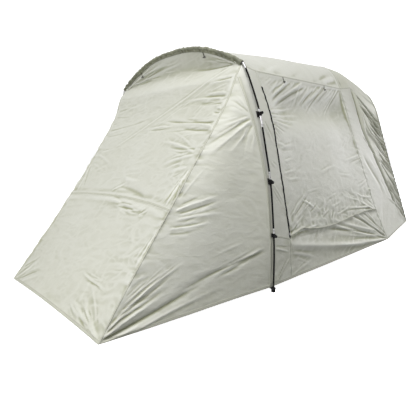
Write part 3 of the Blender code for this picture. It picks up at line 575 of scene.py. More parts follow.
def attended(folds, seed, strength=0.5):
    """The folds with the small ones that lie beside each of them."""
    rng = np.random.default_rng(seed)
    out = list(folds)
    for p0, q0, p1, q1, w0, w1, height, lead, tail in folds:
        dp, dq = p1 - p0, q1 - q0
        length = np.hypot(dp, dq)
        for sign in (-1, 1):
            gap = rng.uniform(1.9, 3.0) * (w0 + w1) / 2000
            turn, first, last = rng.uniform((-0.12, 0.02, 0.55), (0.12, 0.30, 1.05))
            a = (p0 - dq / length * gap * sign * 0.5, q0 + dp / length * gap * sign * 0.5)
            way = (dp - turn * dq - dq / length * gap * sign / 2,
                   dq + turn * dp + dp / length * gap * sign / 2)
            size = rng.uniform(0.35, 0.7)
            out.append((a[0] + way[0] * first, a[1] + way[1] * first, a[0] + way[0] * last,
                        a[1] + way[1] * last, w0 * 0.6 + 1, w1 * size, height * strength * size * 1.4
                        * rng.choice((-1, 1)), 0.2, 0.5))
    return out


def varied(folds, seed):
    """The same folds as they fall on the other side of the tent, each a little different."""
    rng = np.random.default_rng(seed)
    out = []
    for p0, q0, p1, q1, w0, w1, height, lead, tail in folds:
        turn, stretch, strength = rng.uniform((-0.10, 0.8, 0.65), (0.10, 1.15, 1.15))
        dp, dq = p1 - p0, q1 - q0
        out.append((p0, q0, p0 + stretch * (dp - turn * dq), q0 + stretch * (dq + turn * dp),
                    w0, w1, height * strength, lead, tail))
    return out


def crumple(x, y, seed):
    """Sharp-crested noise, such as cloth that was folded up shows."""
    warp_x = x + 0.8 * noise(x * 0.6, y * 0.6, seed + 7)
    warp_y = y + 0.8 * noise(x * 0.6 + 9, y * 0.6, seed + 11)
    return 0.5 - np.abs(noise(warp_x, warp_y, seed)) * 1.4


def pucker(gap, travel, reach, pitch, seed):
    """Short wrinkles that a seam draws up beside it."""
    return np.exp(-np.abs(gap) / reach) * noise(travel / pitch, gap / (reach * 4) + 5, seed)


def sample(array, rows, columns):
    """Reads a grid at places between its rows and columns."""
    rows, columns = np.broadcast_arrays(np.asarray(rows, float), np.asarray(columns, float))
    i = np.clip(np.floor(rows).astype(int), 0, array.shape[0] - 2)
    j = np.clip(np.floor(columns).astype(int), 0, array.shape[1] - 2)
    s, t = (rows - i)[..., None], (columns - j)[..., None]
    return ((array[i, j] * (1 - t) + array[i, j + 1] * t) * (1 - s)
            + (array[i + 1, j] * (1 - t) + array[i + 1, j + 1] * t) * s)


class Surface:
    """A panel of cloth: its points, the way out of it, and its cut in metres for the weave."""

    def __init__(self, points, out, cut):
        self.points, self.out, self.cut = points, out, cut

    def at(self, rows, columns):
        """The same cloth at places between its rows and columns."""
        return Surface(sample(self.points, rows, columns), unit(sample(self.out, rows, columns)),
                       sample(self.cut, rows, columns))

    def part(self, rows, columns):
        return Surface(self.points[rows, columns], self.out[rows, columns], self.cut[rows, columns])


def folded(grid, relief, across, up):
    """The cloth of a grid of points, raised by its folds and never under the floor."""
    out = outward(grid)
    raised = grid + out * relief[..., None]
    raised[..., 2] = np.maximum(raised[..., 2], 0.001)
    return Surface(raised, out, np.stack([across, up], axis=-1))


def gathers(seed):
    """Narrow valleys that deepen down to the sleeve's elastic, all along its edge."""
    rng = np.random.default_rng(seed)
    out = []
    for z in np.arange(0.07, 1.42, 0.047):
        z = z + rng.uniform(-0.014, 0.014)
        reach, slope, depth = rng.uniform((0.16, 0.55, 15), (0.44, 0.95, 30))
        x = float(smooth(SLEEVE_EDGE, z, 1))
        out.append((x - reach, z + slope * reach, x + 0.012, z - slope * 0.012,
                    13, 9, -depth, 0.5, 0.01))
    return out


def wall_surface(side):
    """The side wall from the wing's seam to the sleeve's end, with all its folds."""
    grid, rows = wall_grid(side)
    x, z = grid[..., 0] - HOOP_X, grid[..., 2]
    row, column = np.meshgrid(rows, np.arange(grid.shape[1]), indexing="ij")
    seed = 20 if side < 0 else 60
    near = side < 0
    door = WALL_FOLDS if near else varied(WALL_FOLDS, 31)
    skirt = SKIRT_FOLDS if near else varied(SKIRT_FOLDS, 32)
    rear = REAR_FOLDS if near else varied(REAR_FOLDS, 33)
    behind_pole = ease(ZIP_COLUMN - 1, ZIP_COLUMN + 2, column)
    on_door = behind_pole * (1 - ease(DOOR_COLUMN - 3, DOOR_COLUMN, column))
    on_rear = ease(DOOR_COLUMN, DOOR_COLUMN + 12, column)
    before_rear = 1 - ease(DOOR_COLUMN, DOOR_COLUMN + 10, column)
    relief = fold_relief(x, z, attended(door, seed)) * before_rear
    relief *= ease(SKIRT_ROW - 0.9, SKIRT_ROW + 0.1, row)
    relief += fold_relief(x, z, attended(skirt, seed + 1)) * (
        1 - ease(SKIRT_ROW, SKIRT_ROW + 1.2, row)) * before_rear
    relief += fold_relief(x, z, attended(rear, seed + 2, 0.35) + gathers(seed + 6)) * on_rear
    # the wall falls in under the roof's seam, and is hollow down to the skirt
    clear = on_door * ease(0.18, 0.55, x) * ease(1.95, 1.5, x)
    relief -= 0.068 * np.exp(-((z - 1.45) / 0.16) ** 2) * clear
    relief -= 0.016 * np.exp(-((z - 1.05) / 0.30) ** 2) * clear
    # slack between the seams
    relief += 0.004 * noise(x * 3.1 + 4, z * 3.3, seed) * (0.4 + 0.6 * on_door)
    relief += 0.0008 * noise(x * 7.5, z * 21 + x * 6, seed + 1) * on_door * ease(1.5, 1.2, z)
    low = ease(0.72, 0.50, z) * on_door * ease(SKIRT_ROW - 0.2, SKIRT_ROW + 0.4, row)
    relief += (0.0048 * crumple(x * 6.5 + z * 5, z * 9 - x * 3, seed + 2)
               + 0.0030 * crumple(x * 14, z * 17 + x * 4, seed + 3)) * low
    relief += 0.0010 * crumple(x * 9 + z * 4, z * 17 - x * 4, seed + 4) * on_door
    relief += 0.0030 * crumple(x * 4.2, z * 6.5 - x * 5, seed + 5) * ease(6.4, 5.0, row)
    # drawn up along the seams
    step = np.linalg.norm(np.gradient(grid, axis=1), axis=-1)
    for mark, reach, size, pitch in (
            (HOOP_COLUMN, 0.010, 0.0012, 0.05), (ZIP_COLUMN, 0.03, 0.0035, 0.033),
            (DOOR_COLUMN, 0.030, 0.0060, 0.030), (VALLEY_COLUMN, 0.03, 0.004, 0.045)):
        gap = (column - mark) * step
        relief += size * pucker(gap, z + 0.2 * x, reach, pitch, seed + mark)
    rough = np.exp(-((column - DOOR_COLUMN) * step / 0.014) ** 2)
    rough = rough * ease(0.35, 0.55, z) * ease(1.3, 1.05, z)
    relief += 0.007 * noise(z * 31 + 3, x * 20, seed + 9) * rough
    # the rear panel stands over the sleeve in a sharp fold that runs down to the elastic
    gap = (x - np.interp(z, DEEP_FOLD[::-1, 1], DEEP_FOLD[::-1, 0])) * 0.82
    step_down = ease(0.0, 0.006, gap) * (1 - ease(0.015, 0.085, gap))
    rise = np.exp(-(np.minimum(gap, 0) / 0.035) ** 2) * (gap < 0.006)
    relief += (0.018 * rise - 0.052 * step_down) * ease(0.92, 1.02, z) * ease(1.735, 1.66, z)
    # the sleeve is sewn on in a groove, and stands full behind it
    gap = (column - VALLEY_COLUMN) * step
    groove = ease(0.20, 0.42, z) * ease(1.74, 1.60, z)
    relief -= 0.016 * np.exp(-((gap - 0.004) / 0.016) ** 2) * groove
    relief += 0.012 * np.exp(-((gap - 0.055) / 0.035) ** 2) * groove
    share = np.clip((column - VALLEY_COLUMN) / WALL_COUNTS[4], 0, 1)
    relief += 0.0055 * ease(0.35, 1.0, share) * noise(z * 22 + x * 9, x * 2.2, seed + 12)
    relief += 0.0060 * ease(0.15, 1.0, share) * noise((z + x * 0.9) * 13, x * 2.5, seed + 13) * groove
    # nothing moves where other panels are sewn on
    relief *= 1 - ease(23.55, 24, row)
    relief *= ease(0, 3, column) * (1 - 0.75 * ease(SLEEVE_COLUMN - 5, SLEEVE_COLUMN, column))
    relief *= 0.55 + 0.45 * ease(0, 0.8, row)
    return folded(grid, relief, x, z)


def counted(grid):
    """Row of each point of a grid, and how far it is from the grid's two sides."""
    row, column = np.meshgrid(*(np.arange(n) for n in grid.shape[:2]), indexing="ij")
    across = np.linalg.norm(np.gradient(grid, axis=1), axis=-1)
    return row, column * across, (grid.shape[1] - 1 - column) * across


def wing_surface(side):
    """The wing between the front and the wall, with its folds."""
    grid = wing_grid(side)
    x, z = grid[..., 0] - HOOP_X, grid[..., 2]
    near = side < 0
    seed = 100 if near else 140
    row, left, right = counted(grid)
    relief = fold_relief(x, z, attended(WING_FOLDS if near else varied(WING_FOLDS, 34), seed))
    relief += 0.005 * noise(x * 2.6 + 3, z * 2.4, seed)
    relief += (0.0012 * crumple(x * 7 + z * 5, z * 9, seed + 1)
               + 0.0008 * crumple(x * 9, z * 24 + x * 8, seed + 4))
    relief += (0.0030 * pucker(left, z, 0.05, 0.06, seed + 2)
               + 0.0012 * pucker(right, z, 0.02, 0.05, seed + 3))
    relief *= ease(0, 0.02, left) * ease(0, 0.02, right)
    relief *= 1 - ease(grid.shape[0] - 8, grid.shape[0] - 1, row)
    return folded(grid, relief, x, z)


def front_surface(low, high, up, with_arch=False):
    """The front between two rows; its upper part takes in the cloth under the arch."""
    grid = front_grid(low, high, up)
    if with_arch:
        grid = soften(np.concatenate([grid, arch_grid()[1:]], axis=0), up, reach=9, rounds=70)
    y, z = grid[..., 1], grid[..., 2]
    row, near, far = counted(grid)
    slope = 1 - ease(up - 4, up + 8, row) if with_arch else np.ones_like(y)
    relief = fold_relief(y, z, attended(FRONT_FOLDS, 54)) * slope
    mirrored = [fold for fold in FRONT_FOLDS if fold[0] < -0.7 and fold[1] > 0.2 and fold[2] < 0]
    relief += 0.3 * fold_relief(-y, z, varied(mirrored, 35)) * slope
    if with_arch:
        relief += fold_relief(y, z, attended(ARCH_FOLDS, 55)) * (1 - slope)
    relief += 0.004 * noise(y * 2.3 + 5, z * 2.6, 50)
    # the lower panel stands full under the level seam, the upper one falls in over it
    gap = np.linalg.norm(grid - grid[:1 if low > 0 else None][0 if low > 0 else -1], axis=-1)
    puff = np.exp(-((gap - 0.045) / 0.026) ** 2) * (0.7 + 0.6 * noise(y * 7, y * 0 + 2, 56))
    relief += (-0.004 if low > 0 else 0.007) * puff
    relief += (0.0010 + 0.0012 * ease(0.2, 0.9, -y)) * (crumple(y * 6, z * 13 + y * 2, 51)
                                                        + 0.6 * crumple(y * 11, z * 31 + y * 3, 57))
    relief += 0.0045 * pucker(near, z, 0.07, 0.032, 52) + 0.0030 * pucker(far, z, 0.05, 0.04, 53)
    relief *= ease(0, 0.025, near) * ease(0, 0.025, far)
    edge = ease(0, 5, row) if low > 0 else 0.4 + 0.6 * ease(0, 8, row)
    relief *= edge * (1 - ease(grid.shape[0] - 5, grid.shape[0] - 1, row))
    return folded(grid, relief, y, z * 1.27)


def roof_surface(start, end, along):
    """The roof between two distances behind the hoop; past the cross seam it is the sleeve's top."""
    grid = roof_grid(start, end, along)
    x, y = grid[..., 0] - HOOP_X, grid[..., 1]
    row, side_gap = counted(grid)[0], np.minimum(y - y[:, :1], y[:, -1:] - y)
    relief = fold_relief(x, y, ROOF_FOLDS) + 0.7 * fold_relief(x, -y, varied(ROOF_FOLDS, 36))
    relief += 0.006 * noise(x * 2.4, y * 2.6 + 3, 70) + 0.0014 * crumple(x * 5, y * 6, 71)
    relief += 0.0018 * pucker(side_gap, x, 0.03, 0.045, 72)
    if start > 0:
        share = ease(ROOF_END + 0.15, SLEEVE_END, x)
        relief += share * (0.010 * noise(y * 17, x * 1.3, 73) + 0.006 * noise(y * 34, x * 2, 74))
    relief *= ease(0, 0.03, side_gap) * ease(0, 4, row)
    relief *= 1 - (0.6 if start > 0 else 1.0) * ease(along - 4, along, row)
    return folded(grid, relief, x, y * 1.08)


# Meshes

class Patches:
    """Collects the patches of one piece, each with its own finish, and makes one mesh of them."""

    def __init__(self):
        self.points, self.faces, self.cuts, self.finishes, self.creases = [], [], [], [], []
        self.count = 0

    def grid(self, grid, cut=None, flip=False, ring=False, caps=False, finish=0):
        """A patch of rows and columns; ring joins its last column to its first."""
        rows, columns = grid.shape[:2]
        if cut is None:
            cut = measured(grid, ring)
        i, j = np.meshgrid(np.arange(rows - 1), np.arange(columns if ring else columns - 1),
                           indexing="ij")
        down = np.stack([i, i, i + 1, i + 1], axis=-1).reshape(-1, 4)
        right = np.stack([j, j + 1, j + 1, j], axis=-1).reshape(-1, 4)
        if flip:
            down, right = down[:, ::-1], right[:, ::-1]
        self.add((down * columns + right % columns).tolist(), cut[down, right], finish)
        if caps:
            for row, way in ((0, 1 if flip else -1), (rows - 1, -1 if flip else 1)):
                self.add([[row * columns + k for k in range(columns)[::way]]],
                         (grid[row] - grid[row].mean(axis=0))[::way, :2], finish)
        self.points.append(grid.reshape(-1, 3))
        self.creases.append(creases(grid, flip))
        self.count += rows * columns
        return self

    def add(self, faces, cut, finish):
        self.faces += [[k + self.count for k in face] for face in faces]
        self.cuts.append(cut.reshape(-1, 2))
        self.finishes += [finish] * len(faces)

    def make(self, name, *finishes, closed=False, weld=0.0, sharp=None):
        mesh = bpy.data.meshes.new(name)
        mesh.from_pydata(np.concatenate(self.points).tolist(), [], self.faces)
        layer = mesh.uv_layers.new(name="cut")
        layer.data.foreach_set("uv", np.concatenate(self.cuts).astype(np.float32).ravel())
        mesh.polygons.foreach_set("material_index", self.finishes)
        crease = mesh.attributes.new("crease", "FLOAT", "POINT")
        crease.data.foreach_set("value", np.concatenate(self.creases).astype(np.float32))
        for label in finishes:
            mesh.materials.append(finish(label))
        if closed or weld:
            edit = bmesh.new()
            edit.from_mesh(mesh)
            if weld:
                bmesh.ops.remove_doubles(edit, verts=edit.verts, dist=weld)
            if closed:
                bmesh.ops.recalc_face_normals(edit, faces=edit.faces)
            edit.to_mesh(mesh)
            edit.free()
        mesh.shade_smooth()
        if sharp:
            mesh.set_sharp_from_angle(angle=sharp)
        made = bpy.data.objects.new(name, mesh)
        bpy.context.scene.collection.objects.link(made)
        return made


def creases(grid, flip):
    """How far each point of a cloth lies down in a fold (to 1) or up on one (to -1)."""
    if min(grid.shape[:2]) < 12:
        return np.zeros(grid.shape[0] * grid.shape[1])
    even, depth = grid.copy(), 0
    out = unit(facing(grid)) * (-1 if flip else 1)
    for scale, rounds in ((0.0024, 6), (0.014, 34)):
        for _ in range(rounds):
            even[1:-1] = (even[2:] + even[:-2] + 2 * even[1:-1]) / 4
            even[:, 1:-1] = (even[:, 2:] + even[:, :-2] + 2 * even[:, 1:-1]) / 4
        depth = depth + np.sum((even - grid) * out, axis=-1) / scale
    return np.tanh(depth).ravel()


def measured(grid, ring):
    """A grid's cut in metres, from the mean distances between its points."""
    wide = np.concatenate([grid, grid[:, :1]], axis=1) if ring else grid
    across = np.linalg.norm(np.diff(wide, axis=1), axis=-1).mean(axis=0)
    along = np.linalg.norm(np.diff(grid, axis=0), axis=-1).mean(axis=1)
    return np.stack(np.meshgrid(added_up(along), added_up(across), indexing="ij"), axis=-1)


def settle(piece, slot, *nodes):
    """Fixes a finished piece to the tent's one body, in place of the solids it stands for."""
    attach(piece, "root")
    if nodes:
        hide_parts(*nodes)
    return piece


def loft(path, profile, wide=(1.0, 0.0, 0.0)):
    """Loops round a path; the profile's points are sideways and outward of it."""
    along = unit(np.gradient(path, axis=0))
    wide = np.broadcast_to(np.asarray(wide, float), path.shape)
    across = square_to(wide, along)
    out = np.cross(across, along)
    profile = np.broadcast_to(profile, (len(path), *np.shape(profile)[-2:]))
    return path[:, None] + across[:, None] * profile[..., :1] + out[:, None] * profile[..., 1:]


def circle(sides):
    turn = np.linspace(0, 2 * np.pi, sides, endpoint=False)
    return np.column_stack([np.cos(turn), np.sin(turn)])


def flat_band(half, flat, over, under):
    """Profile of webbing: half its width, half its flat part, and how far it is over and under."""
    return np.array(((-half, 0.0), (-flat, over), (flat, over), (half, 0.0), (flat, -under),
                     (-flat, -under)))


def rod(path, radii, sides, wide=(1.0, 0.0, 0.0)):
    return loft(path, circle(sides)[None] * np.broadcast_to(radii, len(path))[:, None, None], wide)


def squarer(value, power):
    """A sine or cosine whose circle is drawn out to its corners by a power above 2."""
    return np.sign(value) * np.abs(value) ** (2 / power)


def block(centre, axes, half, power, steps=14):
    """A block with half sizes along its three axes; a greater power gives sharper edges."""
    tilt = np.linspace(-np.pi / 2, np.pi / 2, steps + 1)
    turn = np.linspace(-np.pi, np.pi, 2 * steps, endpoint=False)
    rise, spin = np.meshgrid(tilt, turn, indexing="ij")
    level = squarer(np.cos(rise), power)
    local = np.stack([level * squarer(np.cos(spin), power) * half[0],
                      level * squarer(np.sin(spin), power) * half[1],
                      squarer(np.sin(rise), power) * half[2]], axis=-1)
    return np.asarray(centre) + local @ np.asarray(axes, float)


def loop_rod(centre, axes, half, wire, power=2.0):
    """A closed ring of round wire in the plane of two axes."""
    turn = np.linspace(0, 2 * np.pi, 41)
    x, y = squarer(np.cos(turn), power) * half[0], squarer(np.sin(turn), power) * half[1]
    axes = np.asarray(axes, float)
    path = np.asarray(centre) + x[:, None] * axes[0] + y[:, None] * axes[1]
    along = unit(np.roll(path[:-1], -1, axis=0) - np.roll(path[:-1], 1, axis=0))
    along = np.vstack([along, along[:1]])
    across = np.broadcast_to(axes[2], along.shape)
    out = np.cross(along, across)
    ring = circle(10) * wire
    return path[:, None] + across[:, None] * ring[None, :, :1] + out[:, None] * ring[None, :, 1:]


def beside(place, distance):
    """Where a panel is at a distance from a seam: place is panel, rows, columns and direction."""
    panel, rows, columns, (down, right) = place
    rows, columns = np.broadcast_arrays(np.asarray(rows, float), np.asarray(columns, float))
    near = sample(panel.points, rows, columns)
    far = sample(panel.points, rows + 2 * down, columns + 2 * right)
    step = np.maximum(np.linalg.norm(far - near, axis=-1) / 2, 1e-4)
    there = panel.at(rows + down * distance / step, columns + right * distance / step)
    return there.points, there.out


def tape(a, b, start, end, thick):
    """A strip sewn flat over a seam, from start on the one side (under zero) to end on the other."""
    rim, low = 0.0009, 0.0002
    offsets = np.concatenate([[start], np.linspace(start + rim, end - rim, 5), [end]])
    lifts = (low, *[thick] * 5, low)
    layers = []
    for offset, lift in zip(offsets, lifts):
        place, out = beside(a if offset < 0 else b, abs(offset))
        if abs(offset) < 0.004:
            out = unit(out + beside(b if offset < 0 else a, 0.0)[1])
        layers.append(place + out * lift)
    return strip(layers, offsets - start)


def strip(layers, offsets):
    """A grid of lines side by side, with its cut along and across them."""
    grid = np.stack(layers, axis=1)
    travel = travelled(grid[:, 3])
    return grid, np.stack(np.meshgrid(travel, offsets, indexing="ij"), axis=-1)


def faces_out(grid, out):
    """Whether a grid's faces have to be turned round to face the way that out points."""
    return float(np.sum(facing(grid) * out)) < 0


def add_tape(patches, a, b, start, end, thick=0.0012):
    grid, cut = tape(a, b, start, end, thick)
    patches.grid(grid, cut, faces_out(grid, beside(a, 0.0)[1][:, None]))


def cloth_size(points):
    """Largest width and length of a panel with its folds, and its area."""
    width = np.linalg.norm(np.diff(points, axis=1), axis=-1).sum(axis=1)
    length = np.linalg.norm(np.diff(points, axis=0), axis=-1).sum(axis=0)
    a = points[1:, 1:] - points[:-1, :-1]
    b = points[1:, :-1] - points[:-1, 1:]
    area = 0.5 * np.linalg.norm(np.cross(a, b), axis=-1).sum()
    return float(width.max()), float(length.max()), float(area)


# Finishes

GROUPS = {}


def feed(tree, made, sockets):
    """Gives a node's inputs their values, or links them to the sockets given for them."""
    for key, value in sockets.items():
        if isinstance(value, bpy.types.NodeSocket):
            tree.links.new(value, made.inputs[key])
        else:
            made.inputs[key].default_value = value
    return made


def node(tree, kind, sockets=None, **values):
    made = tree.nodes.new("ShaderNode" + kind)
    made.location = (len(tree.nodes) // 4 * 190 - 1500, len(tree.nodes) % 4 * -190)
    for key, value in values.items():
        setattr(made, key, value)
    return feed(tree, made, sockets or {})


def math(tree, operation, *terms):
    """One step of arithmetic on sockets and numbers."""
    return node(tree, "Math", dict(enumerate(terms)), operation=operation).outputs[0]


def mixed(tree, share, a, b, blend="MIX"):
    return node(tree, "Mix", {0: share, 6: a, 7: b}, data_type="RGBA", blend_type=blend).outputs[2]


def bump(tree, height, distance, strength, under=None):
    sockets = {"Height": height, "Distance": distance, "Strength": strength}
    if under is not None:
        sockets["Normal"] = under
    return node(tree, "Bump", sockets).outputs[0]


def rgb(colour, times=1.0, plus=0.0):
    return (*(c * times + plus for c in colour), 1.0)


def shared(name, outputs, **inputs):
    """Marks the function that fills in a node group; a vector has None for its default."""
    def keep(fill):
        GROUPS[name] = fill, inputs, outputs.split()
        return fill
    return keep


def place(tree, name, **sockets):
    """Places a shared node group in a tree; the group is built the first time."""
    if name not in bpy.data.node_groups:
        fill, inputs, outputs = GROUPS[name]
        made = bpy.data.node_groups.new(name, "ShaderNodeTree")
        for label, value in inputs.items():
            kind = "Vector" if value is None else "Float" if isinstance(value, float) else "Color"
            socket = made.interface.new_socket(name=label.replace("_", " "), in_out="INPUT",
                                               socket_type="NodeSocket" + kind)
            if value is not None:
                socket.default_value = value
        for label in outputs:
            kind = "Color" if label == "Colour" else "Float"
            made.interface.new_socket(name=label, in_out="OUTPUT", socket_type="NodeSocket" + kind)
        start, end = made.nodes.new("NodeGroupInput"), made.nodes.new("NodeGroupOutput")
        start.location = (-1800, 0)
        end.location = (600, 0)
        feed(made, end, dict(enumerate(fill(made, start.outputs))))
    return node(tree, "Group", {key.replace("_", " "): value for key, value in sockets.items()},
                node_tree=bpy.data.node_groups[name]).outputs


@shared("Ripstop weave", "Height Tone", Cut=None, Threads_per_metre=900.0, Rip_step=0.006,
        Rip_width=0.10)
def weave_lines(tree, given):
    """Plain weave with a stronger thread at even steps, over a panel's cut in metres."""
    waves, rips = [], []
    for part in node(tree, "SeparateXYZ", {0: given["Cut"]}).outputs[:2]:
        turns = math(tree, "MULTIPLY", part, given["Threads per metre"])
        waves.append(math(tree, "ABSOLUTE", math(tree, "SINE", math(tree, "MULTIPLY", turns, np.pi))))
        share = math(tree, "FRACT", math(tree, "DIVIDE", part, given["Rip step"]))
        share = math(tree, "ABSOLUTE", math(tree, "SUBTRACT", share, 0.5))
        rips.append(math(tree, "LESS_THAN", share, math(tree, "MULTIPLY", given["Rip width"], 0.5)))
    rip = math(tree, "MAXIMUM", *rips)
    height = math(tree, "MULTIPLY_ADD", rip, 0.6, math(tree, "MULTIPLY", *waves))
    return height, math(tree, "MULTIPLY_ADD", rip, -0.035, 1.0)


@shared("Handling and soiling", "Colour Roughness Soil", Place=None, Colour=(0.5, 0.5, 0.4, 1.0),
        Soiled_colour=(0.4, 0.4, 0.3, 1.0), Patch_size=2.0, Amount=0.3, Low_soiling=0.5,
        Roughness=0.6)
def soiling(tree, given):
    """Uneven tone and sheen that use leaves: broad patches, fine specks, and a darker tone toward the
    ground.
    """
    many = math(tree, "MULTIPLY", given["Patch size"], 14.0)
    broad, fine = (node(tree, "TexNoise", {"Vector": given["Place"], "Scale": size, "Detail": detail}
                        ).outputs[0] for size, detail in ((given["Patch size"], 4.0), (many, 3.0)))
    height = node(tree, "SeparateXYZ", {0: given["Place"]}).outputs[2]
    low = node(tree, "MapRange", {"Value": height, "From Min": 0.02, "From Max": 0.65, "To Min": 1.0,
                                  "To Max": 0.0}).outputs[0]
    low = math(tree, "MULTIPLY", math(tree, "MULTIPLY", low, given["Low soiling"]), fine)
    patches = math(tree, "MULTIPLY_ADD", fine, 0.35, math(tree, "MULTIPLY", broad, 0.9))
    patches = math(tree, "MULTIPLY", math(tree, "SUBTRACT", patches, 0.48), given["Amount"])
    soil = node(tree, "Clamp", {0: math(tree, "MULTIPLY_ADD", patches, 2.2, low)}).outputs[0]
    return (mixed(tree, soil, given["Colour"], given["Soiled colour"]),
            math(tree, "MULTIPLY_ADD", soil, 0.18, given["Roughness"]), soil)


@shared("Crinkles", "Height", Cut=None, Facets_per_metre=15.0, Fine_share=0.4)
def crinkles(tree, given):
    """Small facets that a thin coated cloth keeps from being folded, longer across than up."""
    stir = node(tree, "TexNoise", {"Vector": given["Cut"], "Scale": 7.0, "Detail": 3.0},
                noise_dimensions="2D").outputs["Color"]
    stirred = node(tree, "VectorMath", {0: stir, 1: (0.10, 0.10, 0.0), 2: given["Cut"]},
                   operation="MULTIPLY_ADD").outputs[0]
    turned = node(tree, "Mapping", {"Vector": stirred, "Rotation": (0.0, 0.0, 0.25),
                                    "Scale": (0.5, 1.15, 1.0)}).outputs[0]
    large, small = (node(tree, "TexVoronoi", {
        "Vector": turned, "Scale": math(tree, "MULTIPLY", given["Facets per metre"], factor)},
        voronoi_dimensions="2D").outputs["Distance"] for factor in (1.0, 2.7))
    return (math(tree, "MULTIPLY_ADD", small, given["Fine share"], large),)


@shared("Stitch lines", "Mask Height", Cut=None, Width=0.014, Inset=0.0022, Stitch=0.0045,
        Thread=0.0010)
def stitches(tree, given):
    """Two lines of stitches along a tape: a mask, and the height of the threads."""
    along, across = node(tree, "SeparateXYZ", {0: given["Cut"]}).outputs[:2]
    nearest = math(tree, "MINIMUM", across, math(tree, "SUBTRACT", given["Width"], across))
    off = math(tree, "ABSOLUTE", math(tree, "SUBTRACT", nearest, given["Inset"]))
    line = math(tree, "SUBTRACT", 1.0, math(tree, "DIVIDE", off, given["Thread"]))
    run = math(tree, "FRACT", math(tree, "DIVIDE", along, given["Stitch"]))
    run = math(tree, "ABSOLUTE", math(tree, "SUBTRACT", run, 0.5))
    run = math(tree, "MULTIPLY", math(tree, "SUBTRACT", 0.40, run), 8.0)
    height = node(tree, "Clamp", {0: math(tree, "MINIMUM", line, run)}).outputs[0]
    return math(tree, "GREATER_THAN", height, 0.25), height


@shared("Moulded grain", "Height Roughness Scuff", Place=None, Grain_size=900.0, Scuffs=0.3,
        Roughness=0.4)
def grain(tree, given):
    """Fine moulded grain with a few scuffs."""
    fine = node(tree, "TexNoise", {"Vector": given["Place"], "Scale": given["Grain size"]}).outputs[0]
    marks = node(tree, "TexNoise", {"Vector": given["Place"], "Scale": 60.0, "Detail": 6.0,
                                    "Distortion": 1.2}).outputs[0]
    edge = node(tree, "MapRange", {"Value": marks, "From Min": 0.60, "From Max": 0.72}).outputs[0]
    scuff = math(tree, "MULTIPLY", edge, given["Scuffs"])
    return fine, math(tree, "MULTIPLY_ADD", scuff, 0.4, given["Roughness"]), scuff


def start_finish(name, **sockets):
    """A new material: its tree, its shader with its own values, and a panel's cut and place."""
    tree = bpy.data.materials.new(name)
    tree.use_nodes = True
    tree = tree.node_tree
    shader = feed(tree, tree.nodes["Principled BSDF"],
                  {key.replace("_", " "): value for key, value in sockets.items()})
    where = node(tree, "TexCoord").outputs
    return tree, shader, where["UV"], where["Object"]


def finished(name, tree, shader, colour, roughness, normal):
    feed(tree, shader, {"Base Color": colour, "Roughness": roughness, "Normal": normal})
    return bpy.data.materials[name]


def soiled(tree, where, colour, patch_colour, roughness, **sockets):
    return place(tree, "Handling and soiling", Place=where, Colour=rgb(colour),
                 Soiled_colour=rgb(patch_colour), Roughness=roughness, **sockets)


def cloth_finish(name, colour, patch_colour, settings, amount=0.35, low=0.45, patch=1.7, deep=1.0):
    """Coated ripstop cloth over a panel's cut."""
    tree, shader, cut, where = start_finish(name, Sheen_Weight=0.22, Sheen_Roughness=0.4,
                                            Coat_Weight=0.22, Coat_Roughness=0.5,
                                            Specular_IOR_Level=0.35)
    soil = soiled(tree, where, colour, patch_colour, settings.gloss, Patch_size=patch, Amount=amount,
                  Low_soiling=low)
    weave = place(tree, "Ripstop weave", Cut=cut, Rip_step=settings.rip_step)
    # painted shade down in the folds and a painted highlight on top of them, by how deep each point
    # lies in a fold
    crease = node(tree, "Attribute", attribute_name="crease").outputs["Fac"]
    fold_shading = node(tree, "ValToRGB", {0: math(tree, "MULTIPLY_ADD", crease, 0.5, 0.5)})
    fold_shading.color_ramp.elements[0].color = rgb(settings.ridge_highlight)
    fold_shading.color_ramp.elements[1].color = rgb([c ** deep for c in settings.crease_shade])
    fold_shading.color_ramp.elements.new(0.5).color = (1.0, 1.0, 1.0, 1.0)
    tone = mixed(tree, 1.0, soil["Colour"], fold_shading.outputs[0], "MULTIPLY")
    tone = mixed(tree, 1.0, tone, weave["Tone"], "MULTIPLY")
    facets = place(tree, "Crinkles", Cut=cut, Facets_per_metre=13.0, Fine_share=0.35)
    facets = bump(tree, facets["Height"], settings.crinkle, 1.0)
    # some of the light on one side comes out on the other
    glow = node(tree, "BsdfTranslucent", {"Color": rgb(colour)})
    both = node(tree, "MixShader", {0: settings.glow, 1: shader.outputs[0], 2: glow.outputs[0]})
    feed(tree, tree.nodes["Material Output"], {"Surface": both.outputs[0]})
    return finished(name, tree, shader, tone, soil["Roughness"],
                    bump(tree, weave["Height"], 0.0001, 0.5, facets))


def tape_finish(name, colour, thread, width, inset=0.0022):
    """Folded seam tape with a line of stitches beside each edge."""
    tree, shader, cut, where = start_finish(name, Sheen_Weight=0.1)
    soil = soiled(tree, where, colour, rgb(colour, 0.72)[:3], 0.62, Patch_size=5.0, Amount=0.4)
    stitch = place(tree, "Stitch lines", Cut=cut, Width=width, Inset=inset)
    weave = bump(tree, place(tree, "Ripstop weave", Cut=cut, Rip_width=0.0)["Height"], 0.00015, 0.4)
    return finished(name, tree, shader, mixed(tree, stitch["Mask"], soil["Colour"], rgb(thread)),
                    soil["Roughness"], bump(tree, stitch["Height"], 0.0004, 0.8, weave))


def moulded_finish(name, colour, roughness, size=900.0, scuffs=0.35, depth=0.00006, shine=0.3):
    """Moulded plastic or rubber, paler where it is scuffed."""
    tree, shader, _, where = start_finish(name, Specular_IOR_Level=shine)
    marks = place(tree, "Moulded grain", Place=where, Grain_size=size, Scuffs=scuffs,
                  Roughness=roughness)
    tone = mixed(tree, marks["Scuff"], rgb(colour), rgb(colour, 0.6, 0.02))
    return finished(name, tree, shader, tone, marks["Roughness"],
                    bump(tree, marks["Height"], depth, 0.5))


